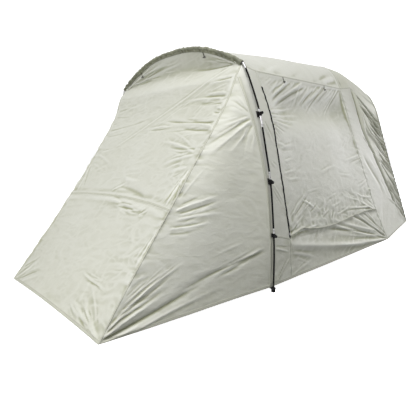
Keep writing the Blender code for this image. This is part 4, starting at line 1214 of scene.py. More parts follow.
def metal_finish(name, colour, roughness):
    """Drawn metal tube with fine lines round it and a few dull marks."""
    tree, shader, _, where = start_finish(name, Metallic=1.0)
    drawn = node(tree, "Mapping", {"Vector": where, "Scale": (60.0, 60.0, 2600.0)}).outputs[0]
    lines = node(tree, "TexNoise", {"Vector": drawn, "Scale": 1.0, "Detail": 2.0}).outputs[0]
    marks = place(tree, "Moulded grain", Place=where, Grain_size=300.0, Scuffs=0.6,
                  Roughness=roughness)
    tone = mixed(tree, marks["Scuff"], rgb(colour), rgb(colour, 0.6))
    return finished(name, tree, shader, tone, marks["Roughness"], bump(tree, lines, 0.00004, 0.4))


def webbing_finish(name, colour, roughness=0.75, pitch=900.0, sheen=0.04):
    """Narrow woven webbing or zip tape, with diagonal ribs over its cut."""
    tree, shader, cut, where = start_finish(name, Sheen_Weight=sheen, Specular_IOR_Level=0.1)
    turned = node(tree, "Mapping", {"Vector": cut, "Rotation": (0.0, 0.0, 0.62)}).outputs[0]
    weave = place(tree, "Ripstop weave", Cut=turned, Threads_per_metre=pitch, Rip_width=0.0)
    soil = soiled(tree, where, colour, rgb(colour, 0.8, 0.006)[:3], roughness, Patch_size=14.0,
                  Amount=0.35)
    return finished(name, tree, shader, soil["Colour"], soil["Roughness"],
                    bump(tree, weave["Height"], 0.0003, 0.8))


# Settings

def tint(name, description, *default, top=1.0):
    return FloatVectorProperty(name=name, description=description, default=default, size=3,
                               subtype="COLOR", min=0.0, max=top)


def metres(name, description, default, low, high):
    return FloatProperty(name=name, description=description, default=default, min=low, max=high,
                         unit="LENGTH")


def fraction(name, description, default, high=1.0):
    return FloatProperty(name=name, description=description, default=default, min=0.0, max=high,
                         subtype="FACTOR")


def watts(name, description, default):
    return FloatProperty(name=name, description=description, default=default, min=0.0, max=5000.0,
                         unit="POWER")


class TentClothSettings(PropertyGroup):
    """Colours and sizes of the cloth and its seams."""

    sage: tint("Tent cloth", "Colour of the walls, front and roof", 0.538, 0.549, 0.470)
    soiled: tint("Soiled cloth", "Colour where the cloth was handled", 0.42, 0.425, 0.325)
    # the sage cloth made darker for the sleeve, which lies in shade: painted shade
    sleeve_shade: tint("Sleeve cloth", "Colour of the thinner car sleeve", 0.475, 0.485, 0.385)
    # much darker than the sage, for the shade that the tunnel over the arch lies in: painted shade
    tunnel_shade: tint("Pole tunnel cloth", "Colour of the tunnel over the arch", 0.135, 0.141, 0.094)
    tape: tint("Seam tape", "Colour of the tape over the seams", 0.44, 0.45, 0.355)
    thread: tint("Thread", "Colour of the stitches", 0.16, 0.165, 0.12)
    # painted shade down in the folds, and a painted highlight on top of them
    crease_shade: tint("Crease shade", "Tone of the cloth down in its folds", 0.50, 0.51, 0.355, top=2.0)
    ridge_highlight: tint("Ridge highlight", "Tone of the cloth on top of its folds", 1.16, 1.16, 1.20, top=2.0)
    gloss: fraction("Cloth roughness", "Roughness of the coated cloth", 0.58)
    glow: fraction("Light through cloth", "Share of the light that passes through", 0.10, 0.5)
    crinkle: metres("Crinkle depth", "Depth of the small facets in the cloth", 0.0024, 0.0, 0.02)
    rip_step: metres("Ripstop step", "Distance between the stronger threads", 0.006, 0.002, 0.02)
    tape_width: metres("Seam tape width", "Width of the tape over a seam", 0.016, 0.008, 0.03)
    hem_width: metres("Hem width", "Width of the hem at the ground", 0.024, 0.01, 0.05)


class TentFrameSettings(PropertyGroup):
    """Colours and sizes of the poles and fittings."""

    pole: tint("Pole", "Colour of the lacquered poles", 0.004, 0.004, 0.004)
    ferrule: tint("Ferrule", "Colour of the metal ferrules", 0.42, 0.42, 0.41)
    plastic: tint("Fittings", "Colour of the clips and sliders", 0.004, 0.004, 0.004)
    pole_radius: metres("Pole radius", "Radius of the poles", 0.0070, 0.004, 0.012)
    ferrule_radius: metres("Ferrule radius", "Radius of the ferrules", 0.0078, 0.004, 0.014)
    tooth_pitch: metres("Zip tooth pitch", "Distance between the zip's teeth", 0.0034, 0.002, 0.01)


class TentStudioSettings(PropertyGroup):
    """Strength of the studio's lights, and its floor."""

    key: watts("Key light", "Power of the large high light", 530.0)
    front: watts("Front light", "Power of the light before the sloping front", 330.0)
    side: watts("Side light", "Power of the low light behind the tent", 215.0)
    near: watts("Near light", "Power of the light beside the right wall", 140.0)
    far: watts("Far light", "Power of the light beside the left wall", 120.0)
    ambient: fraction("Ambient", "Strength of the light from all round", 0.12)
    floor: fraction("Floor tone", "How pale the floor is", 0.86)


def cloth_settings():
    return bpy.context.scene.tent_cloth


def frame_settings():
    return bpy.context.scene.tent_frame


# Shared panels and finishes, each made once

PANELS = {}
FRONT_LOWER_ROWS, FRONT_UPPER_ROWS = 124, 190
ROOF_ROWS, SLEEVE_TOP_ROWS = 100, 70


def panel(name, side=0):
    """A panel with its folds, by its name; a wall or a wing has a side too."""
    if (name, side) not in PANELS:
        make, *values = {
            "wall": (wall_surface, side),
            "wing": (wing_surface, side),
            "front_lower": (front_surface, 0, FRONT_ROW, FRONT_LOWER_ROWS),
            "front_upper": (front_surface, FRONT_ROW, TOP_ROW, FRONT_UPPER_ROWS, True),
            "roof": (roof_surface, 0.0, ROOF_END, ROOF_ROWS),
            "sleeve_top": (roof_surface, ROOF_END, SLEEVE_END, SLEEVE_TOP_ROWS),
        }[name]
        PANELS[name, side] = make(*values)
    return PANELS[name, side]


def finish(name):
    """One of the tent's materials, made the first time that it is asked for."""
    if name in bpy.data.materials:
        return bpy.data.materials[name]
    cloth, metal = cloth_settings(), frame_settings()
    make, *values = {
        "Sage ripstop": (cloth_finish, cloth.sage, cloth.soiled, cloth),
        # the sleeve's colour is painted shade, and the power 2.4 deepens the painted shade in its
        # folds
        "Sleeve ripstop": (cloth_finish, cloth.sleeve_shade, [c * 0.72 for c in cloth.sleeve_shade], cloth, 0.5,
                           0.45, 1.7, 2.4),
        # the tunnel's dark colour is painted shade, and its lighter patches are painted sheen
        # highlights
        "Pole tunnel cloth": (cloth_finish, cloth.tunnel_shade, [c * 2.0 for c in cloth.tunnel_shade], cloth, 0.9,
                              0.0, 12.0),
        "Seam tape": (tape_finish, cloth.tape, cloth.thread, cloth.tape_width),
        "Hem band": (tape_finish, cloth.tape, cloth.thread, cloth.hem_width, 0.003),
        "Pole lacquer": (moulded_finish, metal.pole, 0.34, 1400.0, 0.15, 0.00002, 0.04),
        "Ferrule metal": (metal_finish, metal.ferrule, 0.28),
        "Clip plastic": (moulded_finish, metal.plastic, 0.5, 900.0, 0.35, 0.00006, 0.08),
        "Foot rubber": (moulded_finish, (0.006,) * 3, 0.62, 700.0, 0.5, 0.0001, 0.08),
        "Black webbing": (webbing_finish, (0.022,) * 3),
        "Zip tape": (webbing_finish, (0.003,) * 3, 0.7, 1400.0, 0.0),
        "Elastic casing": (webbing_finish, [c * 0.62 for c in cloth.sleeve_shade], 0.72, 1100.0),
        "Toggle grey": (moulded_finish, (0.10, 0.10, 0.085), 0.5),
        "Toggle webbing": (webbing_finish, (0.10, 0.105, 0.078)),
    }[name]
    return make(name, *values)


# Sewing

def sew(name, cad_node, parts, rests_on, *sewn, held="stretched", slot="tent_cloth",
        cloth="Sage ripstop"):
    """A cloth piece in place of a solid; it also works out the size that its parts were cut to."""
    patches, sizes = Patches(), []
    for part in parts:
        patches.grid(part.points, part.cut, faces_out(part.points, part.out))
        sizes.append(cloth_size(part.points))
    made = settle(patches.make(name, cloth), slot, cad_node)
    width, length = (round(max(size[k] for size in sizes), 3) for k in (0, 1))
    # the area is at least 0.3 of the flat size, and at most all of it
    area = np.clip(sum(size[2] for size in sizes), 0.301 * width * length, 0.999 * width * length)


def seam_tape(name, slot, *runs, cloth="Seam tape", weld=0.0):
    """Tape over seams: each run is the places on both sides, and where it starts and ends."""
    patches = Patches()
    for run in runs:
        add_tape(patches, *run)
    return settle(patches.make(name, cloth, weld=weld), slot)


def within(face, rows, column):
    """Both sides of a seam that runs up inside a panel."""
    return (face, rows, column, (0, -1)), (face, rows, column, (0, 1))


def hem_band(name, face, first, last, count, width=None, cloth="Hem band"):
    """A turned hem on a panel's lower border between two of its columns, rounded over its edge."""
    columns, width = np.linspace(first, last, count), width or cloth_settings().hem_width
    offsets = np.concatenate([[0.0, 0.0, 0.0006], np.linspace(0.002, width - 0.0009, 6), [width]])
    lifts = np.concatenate([[-0.0012, 0.0007, 0.0015], np.full(6, 0.0017), [0.0002]])
    spots = [beside((face, 0.0, columns, (1, 0)), offset) for offset in offsets]
    grid, cut = strip([place + out * lift for (place, out), lift in zip(spots, lifts)], offsets)
    grid[..., 2] = np.maximum(grid[..., 2], 0.0005)
    band = Patches().grid(grid, cut, faces_out(grid, spots[0][1][:, None]))
    return settle(band.make(name, cloth), "tent_cloth")


def front_seam_tape(side, word):
    """Tape over the seam between a wing and the front, from the ground to the shoulder."""
    half = cloth_settings().tape_width / 2
    low, up, wing = panel("front_lower"), panel("front_upper"), panel("wing", side)
    column, way = (FRONT_COLUMNS, (0, -1)) if side > 0 else (0, (0, 1))
    rows = np.linspace(0.05, APEX_ROW - 0.02, 250)
    under, over = rows[rows <= FRONT_ROW], rows[rows > FRONT_ROW]
    last = np.linspace(APEX_ROW - 0.02, TOP_ROW - 0.12, 10)
    per_wing = (len(wing.points) - 1) / APEX_ROW
    per_up = FRONT_UPPER_ROWS / (TOP_ROW - FRONT_ROW)
    return seam_tape(
        f"front_seam_tape_{word}", "tent_cloth",
        ((low, under * FRONT_LOWER_ROWS / FRONT_ROW, column, way),
         (wing, under * per_wing, 0, (0, 1)), -half, half),
        ((up, (over - FRONT_ROW) * per_up, column, way),
         (wing, over * per_wing, 0, (0, 1)), -half, half),
        ((up, (last - FRONT_ROW) * per_up, column, way),
         (panel("wall", side), last * PER_ROW, 0, (0, 1)), -half, half), weld=0.0004)


def wing_seam_tape(side, word):
    """Wider felled seam between a wing and the wall."""
    wing, wall = panel("wing", side), panel("wall", side)
    rows = np.linspace(0.05, APEX_ROW - 0.3, 250)
    return seam_tape(f"wing_seam_tape_{word}", "tent_cloth", (
        (wing, rows * (len(wing.points) - 1) / APEX_ROW, wing.points.shape[1] - 1, (0, -1)),
        (wall, rows * PER_ROW, 0, (0, 1)), -0.003, 0.024, 0.0020))


def wall_seam_tapes(side, word):
    """Tapes over the wall's own seams: below the zip, behind the door and over the skirt."""
    wall, half = panel("wall", side), cloth_settings().tape_width / 2
    columns, row = np.linspace(1.0, ZIP_COLUMN - 0.3, 60), SKIRT_ROW * PER_ROW
    return seam_tape(
        f"wall_seam_tapes_{word}", "tent_cloth",
        (*within(wall, np.linspace(0.1, SKIRT_ROW, 70) * PER_ROW, ZIP_COLUMN), -0.007, 0.007),
        (*within(wall, np.linspace(0.1, TOP_ROW - 0.3, 330) * PER_ROW, DOOR_COLUMN), -half, half),
        ((wall, row, columns, (1, 0)), (wall, row, columns, (-1, 0)), -0.004, 0.010))


def roof_side_tape(name, slot, side, over, first, last):
    """Tape over the seam between the roof and a side wall, between two wall columns."""
    wall, row = panel("wall", side), TOP_ROW * PER_ROW
    columns = np.linspace(first, last, 300)
    column, way = (0, 1) if side < 0 else (over.points.shape[1] - 1, -1)
    rows = np.interp(sample(wall.points, row, columns)[:, 0], over.points[:, column, 0],
                     np.arange(len(over.points)))
    return seam_tape(name, slot, ((over, rows, column, (0, way)), (wall, row, columns, (-1, 0)),
                                  -0.004, 0.005))


def loose_rows(wall):
    """Row of the door's loose lower edge in every door column."""
    rows = []
    for column in range(ZIP_COLUMN, DOOR_COLUMN + 1):
        height = wall.cut[:, column, 1]
        distance = wall.cut[round(SKIRT_ROW * PER_ROW), column, 0]
        rows.append(np.interp(smooth(LOOSE_EDGE, distance, 1), height, np.arange(len(height))))
    return np.array(rows)


def off_seams(columns, reach):
    """1 inside the door, 0 on its zip and on the seam behind it."""
    return ease(0, reach, columns - ZIP_COLUMN) * (1 - ease(-reach, 0, columns - DOOR_COLUMN))


# Pieces

class TentOperator:
    """What every operator here shares."""

    bl_options = {"REGISTER", "UNDO"}


class TENT_OT_side_walls(TentOperator, Operator):
    """Skirt, hoop strip, side door and rear side panel of both sides, with their seam tapes"""

    bl_idname = "tent.side_walls"
    bl_label = "Side walls"

    def execute(self, context):
        low = round(SKIRT_ROW * PER_ROW)
        for side, word in SIDES:
            wall = panel("wall", side)
            tapes = wall_seam_tapes(side, word)
            sew(f"hoop_strip_cloth_{word}", f"hoop_strip_{word}",
                [wall.part(slice(low, None), slice(ZIP_COLUMN + 1))], f"pole_lower_{word}",
                wing_seam_tape(side, word))
            sew(f"rear_side_cloth_{word}", f"rear_side_{word}",
                [wall.part(slice(None), slice(DOOR_COLUMN, VALLEY_COLUMN + 1))], "roof_panel", tapes)
            self.door(wall, word)
            self.skirt(wall, word, low)
        return {"FINISHED"}

    def door(self, wall, word):
        """The door from its loose lower edge up to the roof, with its edge turned in."""
        columns, low = np.arange(ZIP_COLUMN, DOOR_COLUMN + 1.0), loose_rows(wall)
        rows = low + (TOP_ROW * PER_ROW - low) * np.linspace(0, 1, 216)[:, None]
        door = wall.at(rows, columns)
        steps = np.diff(door.points, axis=0, prepend=door.points[:1])
        above = np.cumsum(np.linalg.norm(steps, axis=-1), axis=0)
        flare = 0.009 * np.exp(-above / 0.045) * off_seams(columns, 6)
        door.points += door.out * flare[..., None]
        sew(f"side_door_cloth_{word}", f"side_door_{word}", [door], "roof_panel",
            hem_band(f"door_edge_band_{word}", door, 0.3, len(columns) - 1.3, 260, 0.013,
                     "Seam tape"))

    def skirt(self, wall, word, low):
        """The skirt from the wing to the rear panel; behind the door it goes up under the flap."""
        columns, loose = np.arange(ZIP_COLUMN, DOOR_COLUMN + 1.0), loose_rows(wall)
        rows = (loose + 6.0) * np.linspace(0, 1, low + 8)[:, None]
        under = wall.at(rows, columns)
        tuck = 0.006 * ease(-14, -2, rows - loose) * off_seams(columns, 5)
        under.points -= under.out * tuck[..., None]
        sew(f"skirt_cloth_{word}", f"skirt_{word}",
            [wall.part(slice(low + 1), slice(ZIP_COLUMN + 1)), under], f"pole_foot_{word}",
            hem_band(f"skirt_hem_{word}", wall, 0.5, VALLEY_COLUMN - 0.5, 420))


class TENT_OT_sleeve(TentOperator, Operator):
    """Car sleeve: its two sides, its top and the elastic casing round its open end"""

    bl_idname = "tent.sleeve"
    bl_label = "Car sleeve"

    def execute(self, context):
        top, tapes = panel("sleeve_top"), []
        sleeve = {"held": "gathered", "slot": "shade_cloth", "cloth": "Sleeve ripstop"}
        for side, word in SIDES:
            wall = panel("wall", side)
            groove = seam_tape(f"sleeve_seam_tape_{word}", "shade_cloth", (*within(
                wall, np.linspace(0.1, TOP_ROW - 0.2, 330) * PER_ROW, VALLEY_COLUMN), -0.006, 0.006))
            sew(f"sleeve_side_cloth_{word}", f"sleeve_side_{word}",
                [wall.part(slice(None), slice(VALLEY_COLUMN, None))], "elastic_hem", groove, **sleeve)
            tapes.append(roof_side_tape(f"sleeve_roof_tape_{word}", "shade_cloth", side, top,
                                        DOOR_COLUMN, SLEEVE_COLUMN - 1))
        sew("sleeve_top_cloth", "sleeve_top", [top], "elastic_hem", *tapes, **sleeve)
        self.elastic()
        return {"FINISHED"}

    def border(self, back):
        """The sleeve's open border, or the line a few rows before it, from ground to ground."""
        left, right = (panel("wall", side).points[:, -back] for side in (1, -1))
        over = panel("sleeve_top").points[-back, ::-1]
        return np.concatenate([left[:-3], over[2:-2], right[::-1][3:]])

    STEP, RADIUS, OFFSET = 0.0060, 0.0078, 0.0080

    def elastic(self):
        """Ruched casing over an elastic cord, along the open border."""
        edge = self.border(1)
        along, away = unit(np.gradient(edge, axis=0)), edge - self.border(4)
        path = spaced(edge + square_to(away, along) * self.OFFSET, self.STEP)
        for _ in range(4):
            path[1:-1] = (path[:-2] + 2 * path[1:-1] + path[2:]) / 4
        travel = (np.arange(len(path)) * self.STEP)[:, None]
        turn = np.linspace(0, 2 * np.pi, 14, endpoint=False)
        ruche = noise(travel / 0.011 + 0.5 * np.sin(turn), 3 + np.cos(turn)[None], 91)
        ruche += 0.6 * noise(travel / 0.026, 7 + 1.2 * np.sin(turn)[None], 92)
        grid = loft(path, circle(14) * (self.RADIUS * (1 + 0.16 * ruche))[..., None])
        grid[..., 2] = np.maximum(grid[..., 2], 0.0005)
        made = Patches().grid(grid, ring=True, caps=True).make("elastic_casing", "Elastic casing",
                                                               closed=True)
        settle(made, "elastic_cloth", "elastic_hem")


class TENT_OT_side_wings(TentOperator, Operator):
    """Triangular wings between the front and the hoop, with the front seams' tapes and hems"""

    bl_idname = "tent.side_wings"
    bl_label = "Side wings"

    def execute(self, context):
        for side, word in SIDES:
            wing = panel("wing", side)
            band = hem_band(f"side_wing_hem_{word}", wing, 0.3, wing.points.shape[1] - 1.3, 260)
            sew(f"side_wing_cloth_{word}", f"side_wing_{word}", [wing], f"pole_lower_{word}",
                front_seam_tape(side, word), band)
        return {"FINISHED"}


class TENT_OT_front_panels(TentOperator, Operator):
    """Lower and upper front with the upright cloth under the arch, and the level seam's tape"""

    bl_idname = "tent.front_panels"
    bl_label = "Front panels"

    def execute(self, context):
        low, up = panel("front_lower"), panel("front_upper")
        sew("front_lower_cloth", "front_lower_panel", [low], "side_wing_cloth_right",
            hem_band("front_hem", low, 0.3, FRONT_COLUMNS - 0.3, 300))
        columns = np.linspace(0.4, FRONT_COLUMNS - 0.4, 300)
        level = seam_tape("front_level_seam_tape", "tent_cloth", (
            (up, 0.0, columns, (1, 0)), (low, float(FRONT_LOWER_ROWS), columns, (-1, 0)),
            -0.007, 0.007))
        sew("front_upper_cloth", "front_upper_panel", [up], "pole_arch", level)
        return {"FINISHED"}


class TENT_OT_roof(TentOperator, Operator):
    """Roof from the arch to the car sleeve, with the tapes of its side and rear seams"""

    bl_idname = "tent.roof"
    bl_label = "Roof"

    def execute(self, context):
        roof, over = panel("roof"), panel("sleeve_top")
        tapes = [roof_side_tape(f"roof_side_tape_{word}", "tent_cloth", side, roof, HOOP_COLUMN,
                                DOOR_COLUMN) for side, word in SIDES]
        columns = np.linspace(0.5, roof.points.shape[1] - 1.5, 300)
        tapes.append(seam_tape("roof_cross_tape", "tent_cloth", (
            (roof, float(ROOF_ROWS), columns, (-1, 0)), (over, 0.0, columns, (1, 0)), -0.007, 0.007)))
        sew("roof_cloth", "roof_panel", [roof], "pole_arch", *tapes)
        return {"FINISHED"}


def leg_line(low, high, side, step):
    """The pole's centre line on one side between two heights."""
    left = HOOP[:np.argmax(HOOP[:, 0] < 0.3)]
    inner = left[(left[:, 1] > low + 0.002) & (left[:, 1] < high - 0.002)]
    ends = [[np.interp(z, left[:, 1], left[:, 0]), z] for z in (low, high)]
    line = spaced(np.vstack([ends[0], inner, ends[1]]), step)
    return points(0.0, side * line[:, 0], line[:, 1])


def arch_line(low, step):
    """The pole's centre line over the arch, from a height on the left to the same on the right."""
    half = HOOP[:len(HOOP) // 2 + 1]
    half = half[half[:, 1] > low + 0.002]
    line = spaced(np.vstack([half, (half * (-1, 1))[:-1][::-1]]), step)
    return points(0.0, line[:, 0], line[:, 1])


class TENT_OT_pole_tunnel(TentOperator, Operator):
    """Puckered cloth tunnel that holds the pole over the arch, stitched down along its foot"""

    bl_idname = "tent.pole_tunnel"
    bl_label = "Pole tunnel"

    FLAT, STEP = (0.118, 2.06), 0.0055

    def execute(self, context):
        path = arch_line(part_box("pole_sleeve")[0].z, self.STEP)
        travel = (np.arange(len(path)) * self.STEP)[:, None]
        turn = np.linspace(-np.pi * 0.80, np.pi * 0.80, 22)[None]
        # the tunnel is longer than the arch, so it wrinkles across the pole, more at the far end
        twist = travel / 0.030 + turn * 0.55
        strong = 0.75 + 0.6 * np.exp(-travel / 0.45)
        radius = 0.0136 + 0.0046 * strong * noise(twist, turn * 0.4 + 5, 81)
        radius = np.maximum(radius + 0.0014 * noise(twist * 2.3, turn + 9, 82), 0.0088)
        wave = 0.0026 * noise(travel / 0.024, np.arange(3)[None] * 0.7 + 2, 83)
        foot_out, foot_side = (np.broadcast_to(v, (len(path), 3)) for v in
                               ((-0.0330, -0.0250, -0.0170), (0.0020, 0.0042, 0.0050)))
        loop = np.stack([np.concatenate(parts, axis=1) for parts in (
            (wave - foot_side, radius * np.sin(turn), wave + foot_side[:, ::-1]),
            (foot_out, radius * np.cos(turn), foot_out[:, ::-1]))], axis=-1)
        # sharp creases run aslant over both of its faces
        crease = crumple(travel / 0.040 + loop[..., 1] * 16, loop[..., 1] * 9 + 3, 84)
        loop[..., 0] += (np.sign(loop[..., 0]) * 0.0052 * strong * crease
                         * ease(0.010, -0.004, loop[..., 1]))
        grid = loft(path, loop * (1, -1))
        made = Patches().grid(grid, flip=faces_out(grid, grid - path[:, None])).make(
            "pole_tunnel_cloth", "Pole tunnel cloth")
        settle(made, "shade_cloth", "pole_sleeve")
        round(min(cloth_size(grid)[2], self.FLAT[0] * self.FLAT[1]), 4)
        return {"FINISHED"}


def tube(name, path, radii, label, slot, *cad_nodes, sides=24, sharp=0.7):
    """A turned piece along a path, closed at both ends."""
    made = Patches().grid(rod(path, radii, sides), ring=True, caps=True).make(
        name, label, closed=True, sharp=sharp)
    return settle(made, slot, *cad_nodes)


class TENT_OT_poles(TentOperator, Operator):
    """Lacquered poles in sections, with metal ferrules where they join"""

    bl_idname = "tent.poles"
    bl_label = "Poles"

    SMALL_FERRULES = ((0.905, 0.962), (0.484, 0.522))

    def execute(self, context):
        sizes = frame_settings()
        for side, word in SIDES:
            for kind in ("pole_lower", "pole_upper"):
                low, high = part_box(f"{kind}_{word}")
                path = leg_line(low.z, high.z, side, 0.012)
                radii = np.full(len(path), sizes.pole_radius)
                radii[[0, -1]] -= 0.0006
                tube(f"{kind}_rod_{word}", path, radii, "Pole lacquer", "pole_black",
                     f"{kind}_{word}")
            for kind in ("ferrule_middle", "ferrule_top"):
                low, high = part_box(f"{kind}_{word}")
                self.ferrule(f"{kind}_tube_{word}", low.z, high.z, side, sizes.ferrule_radius,
                             f"{kind}_{word}")
            for number, (low, high) in enumerate(self.SMALL_FERRULES, 2):
                self.ferrule(f"ferrule_small_{word}_{number}", low, high, side,
                             sizes.pole_radius + 0.0003)
        path = arch_line(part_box("pole_arch")[0].z, 0.012)
        tube("pole_arch_rod", path, sizes.pole_radius - 0.0003, "Pole lacquer", "pole_black",
             "pole_arch")
        return {"FINISHED"}

    def ferrule(self, name, low, high, side, radius, *cad_nodes):
        """A tube with rolled ends and two crimped rings at each of them."""
        path = leg_line(low, high, side, 0.0012)
        travel = np.linspace(0, high - low, len(path))
        from_end = np.minimum(travel, travel[-1] - travel)
        radii = radius + 0.0005 * np.exp(-(from_end / 0.0016) ** 2)
        for mark in (0.010, 0.016):
            radii -= 0.0007 * np.exp(-((from_end - mark) / 0.0011) ** 2)
        radii[[0, -1]] -= 0.0007
        tube(name, path, radii, "Ferrule metal", "ferrule_metal", *cad_nodes, sharp=0.9)


class TENT_OT_clips(TentOperator, Operator):
    """Hooks that hold the side walls to the outside poles, with their stitched tabs"""

    bl_idname = "tent.clips"
    bl_label = "Clips"

    # height, and how far the moulded arm is tilted
    LEVELS = ((1.397, 26.0), (0.888, -32.0), (0.467, -34.0))

    def execute(self, context):
        for side, word in SIDES:
            for number, (level, tilt) in enumerate(self.LEVELS, 1):
                self.clip(side, f"{word}_{number}", number, level, np.radians(tilt))
                self.tab(panel("wall", side), f"clip_tab_{word}_{number}", level)
        return {"FINISHED"}

    def clip(self, side, tag, number, level, tilt):
        line = leg_line(level - 0.015, level + 0.015, side, 0.03)
        low, high = line[0], line[-1]
        along, forward = unit(high - low), np.array((-1.0, 0.0, 0.0))
        out = np.cross(forward, along)
        out = out * np.sign(out[1] * side)
        sizes = frame_settings()
        held = sizes.ferrule_radius if number == 1 else sizes.pole_radius
        inner, outer, tail = held + 0.0004, held + 0.0040, STANDOFF - 0.0012
        turn = np.concatenate([np.linspace(-np.pi / 3, np.pi * 0.80, 22),
                               np.linspace(np.pi * 0.80, -np.pi / 2, 24)])
        reach = np.where(np.arange(46) < 22, outer, inner)
        bow = np.column_stack([np.cos(turn) * reach, np.sin(turn) * reach])
        shape = np.vstack([[(0.0050, -tail)], bow, [(-0.0030, -inner - 0.0004), (-0.0030, -tail)]])
        hook = (low + (high - low) * np.linspace(0, 1, 5)[:, None, None]
                + shape @ np.array((forward, out)))
        # the moulded arm lies across the pole, toward the wall
        arm = along * np.sin(tilt) - forward * np.cos(tilt)
        axes = (arm, along * np.cos(tilt) + forward * np.sin(tilt), out)
        patches = Patches().grid(hook, ring=True, caps=True)
        # each block of the arm: how far out, how far along it, half sizes, squareness, steps
        for off, sideways, half, power, steps in (
                (outer - 0.001, 0.006, (0.024, 0.0105, 0.0060), 4.0, 14),
                (outer - 0.011, 0.0245, (0.0060, 0.0090, 0.0125), 4.0, 14),
                (outer + 0.0026, 0.004, (0.016, 0.0018, 0.0032), 3.0, 10)):
            centre = (low + high) / 2 + out * off + arm * sideways
            patches.grid(block(centre, axes, half, power, steps), ring=True)
        made = patches.make(f"clip_hook_{tag}", "Clip plastic", closed=True, weld=0.00002, sharp=0.7)
        settle(made, "clip_plastic", f"clip_{tag}")

    def tab(self, wall, name, level):
        """Webbing patch under a clip, stitched to the wall."""
        row = np.interp(level, wall.cut[:, HOOP_COLUMN, 1], np.arange(len(wall.cut)))
        near = wall.points[[round(row) - 1, round(row) + 1], HOOP_COLUMN]
        rows = row + np.linspace(-0.048, 0.048, 25) / np.linalg.norm(near[1] - near[0])
        seam_tape(name, "tent_cloth", (*within(wall, rows, HOOP_COLUMN), -0.0125, 0.034, 0.0014),
                  cloth="Black webbing")


class TENT_OT_feet(TentOperator, Operator):
    """Rubber boots on the poles' lower ends, with the straps that hold them to the skirt"""

    bl_idname = "tent.feet"
    bl_label = "Feet"

    # the boot's share of its height, and of its radius
    PROFILE = np.array((
        (0.0, 0.90), (0.03, 1.0), (0.16, 1.0), (0.18, 0.93), (0.24, 0.93), (0.26, 1.0), (0.38, 1.0),
        (0.40, 0.93), (0.46, 0.93), (0.48, 1.0), (0.60, 1.0), (0.63, 0.92), (0.70, 0.90),
        (0.84, 0.78), (0.95, 0.64), (0.99, 0.58), (0.998, 0.50), (1.0, 0.36)))

    def execute(self, context):
        for side, word in SIDES:
            low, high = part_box(f"pole_foot_{word}")
            centre = np.array(((low.x + high.x) / 2, (low.y + high.y) / 2, 0.0))
            radius = (high.x - low.x) / 2
            path = centre + self.PROFILE[:, :1] * (0.0, 0.0, high.z)
            tube(f"pole_boot_{word}", path, self.PROFILE[:, 1] * radius, "Foot rubber", "foot_rubber",
                 f"pole_foot_{word}", sides=48, sharp=0.6)
            self.strap(side, word, centre, radius + 0.0012)
        return {"FINISHED"}

    def strap(self, side, word, centre, radius):
        """Webbing loop from the skirt round the boot, with a small ring on its way."""
        low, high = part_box(f"foot_strap_{word}")
        z = (low.z + high.z) / 2
        start = np.array((centre[0], low.y if side > 0 else high.y, z))
        round_boot = np.column_stack([circle(40) * radius, np.full(40, z)]) + centre
        edge = flat_band(0.0055, 0.0048, 0.0011, 0.0009)
        band = np.repeat(round_boot[:, None], 6, axis=1)
        band[..., :2] += circle(40)[:, None] * edge[None, :, 1:]
        band[..., 2] += edge[:, 0]
        t = np.linspace(0, 1, 12)[:, None]
        end = np.array((centre[0], centre[1] - side * (radius - 0.0012) * 0.9, z))
        flat = flat_band(0.011, 0.0104, 0.0012, 0.0012)
        link = loft(start + (end - start) * t + np.array((0, 0, -0.002)) * np.sin(np.pi * t), flat)
        t = np.linspace(0, 1, 10)
        tail = loft(start + np.column_stack([0.012 + 0.03 * t, t * 0, -0.012 * t * t]),
                    flat * (0.5, 1.0), (0.0, side, 0.6))
        ring = loop_rod(start + np.array((0.014, side * 0.003, -0.002)),
                        ((1, 0, 0), (0, 0, 1), (0, 1, 0)), (0.009, 0.008), 0.0014, 3.0)
        patches = Patches().grid(np.concatenate([band, band[:1]]), ring=True)
        for part in (link, tail):
            patches.grid(part, ring=True, caps=True)
        made = patches.grid(ring, ring=True, finish=1).make(
            f"foot_webbing_{word}", "Black webbing", "Clip plastic",
            weld=0.00002, closed=True, sharp=0.8)
        settle(made, "webbing", f"foot_strap_{word}")


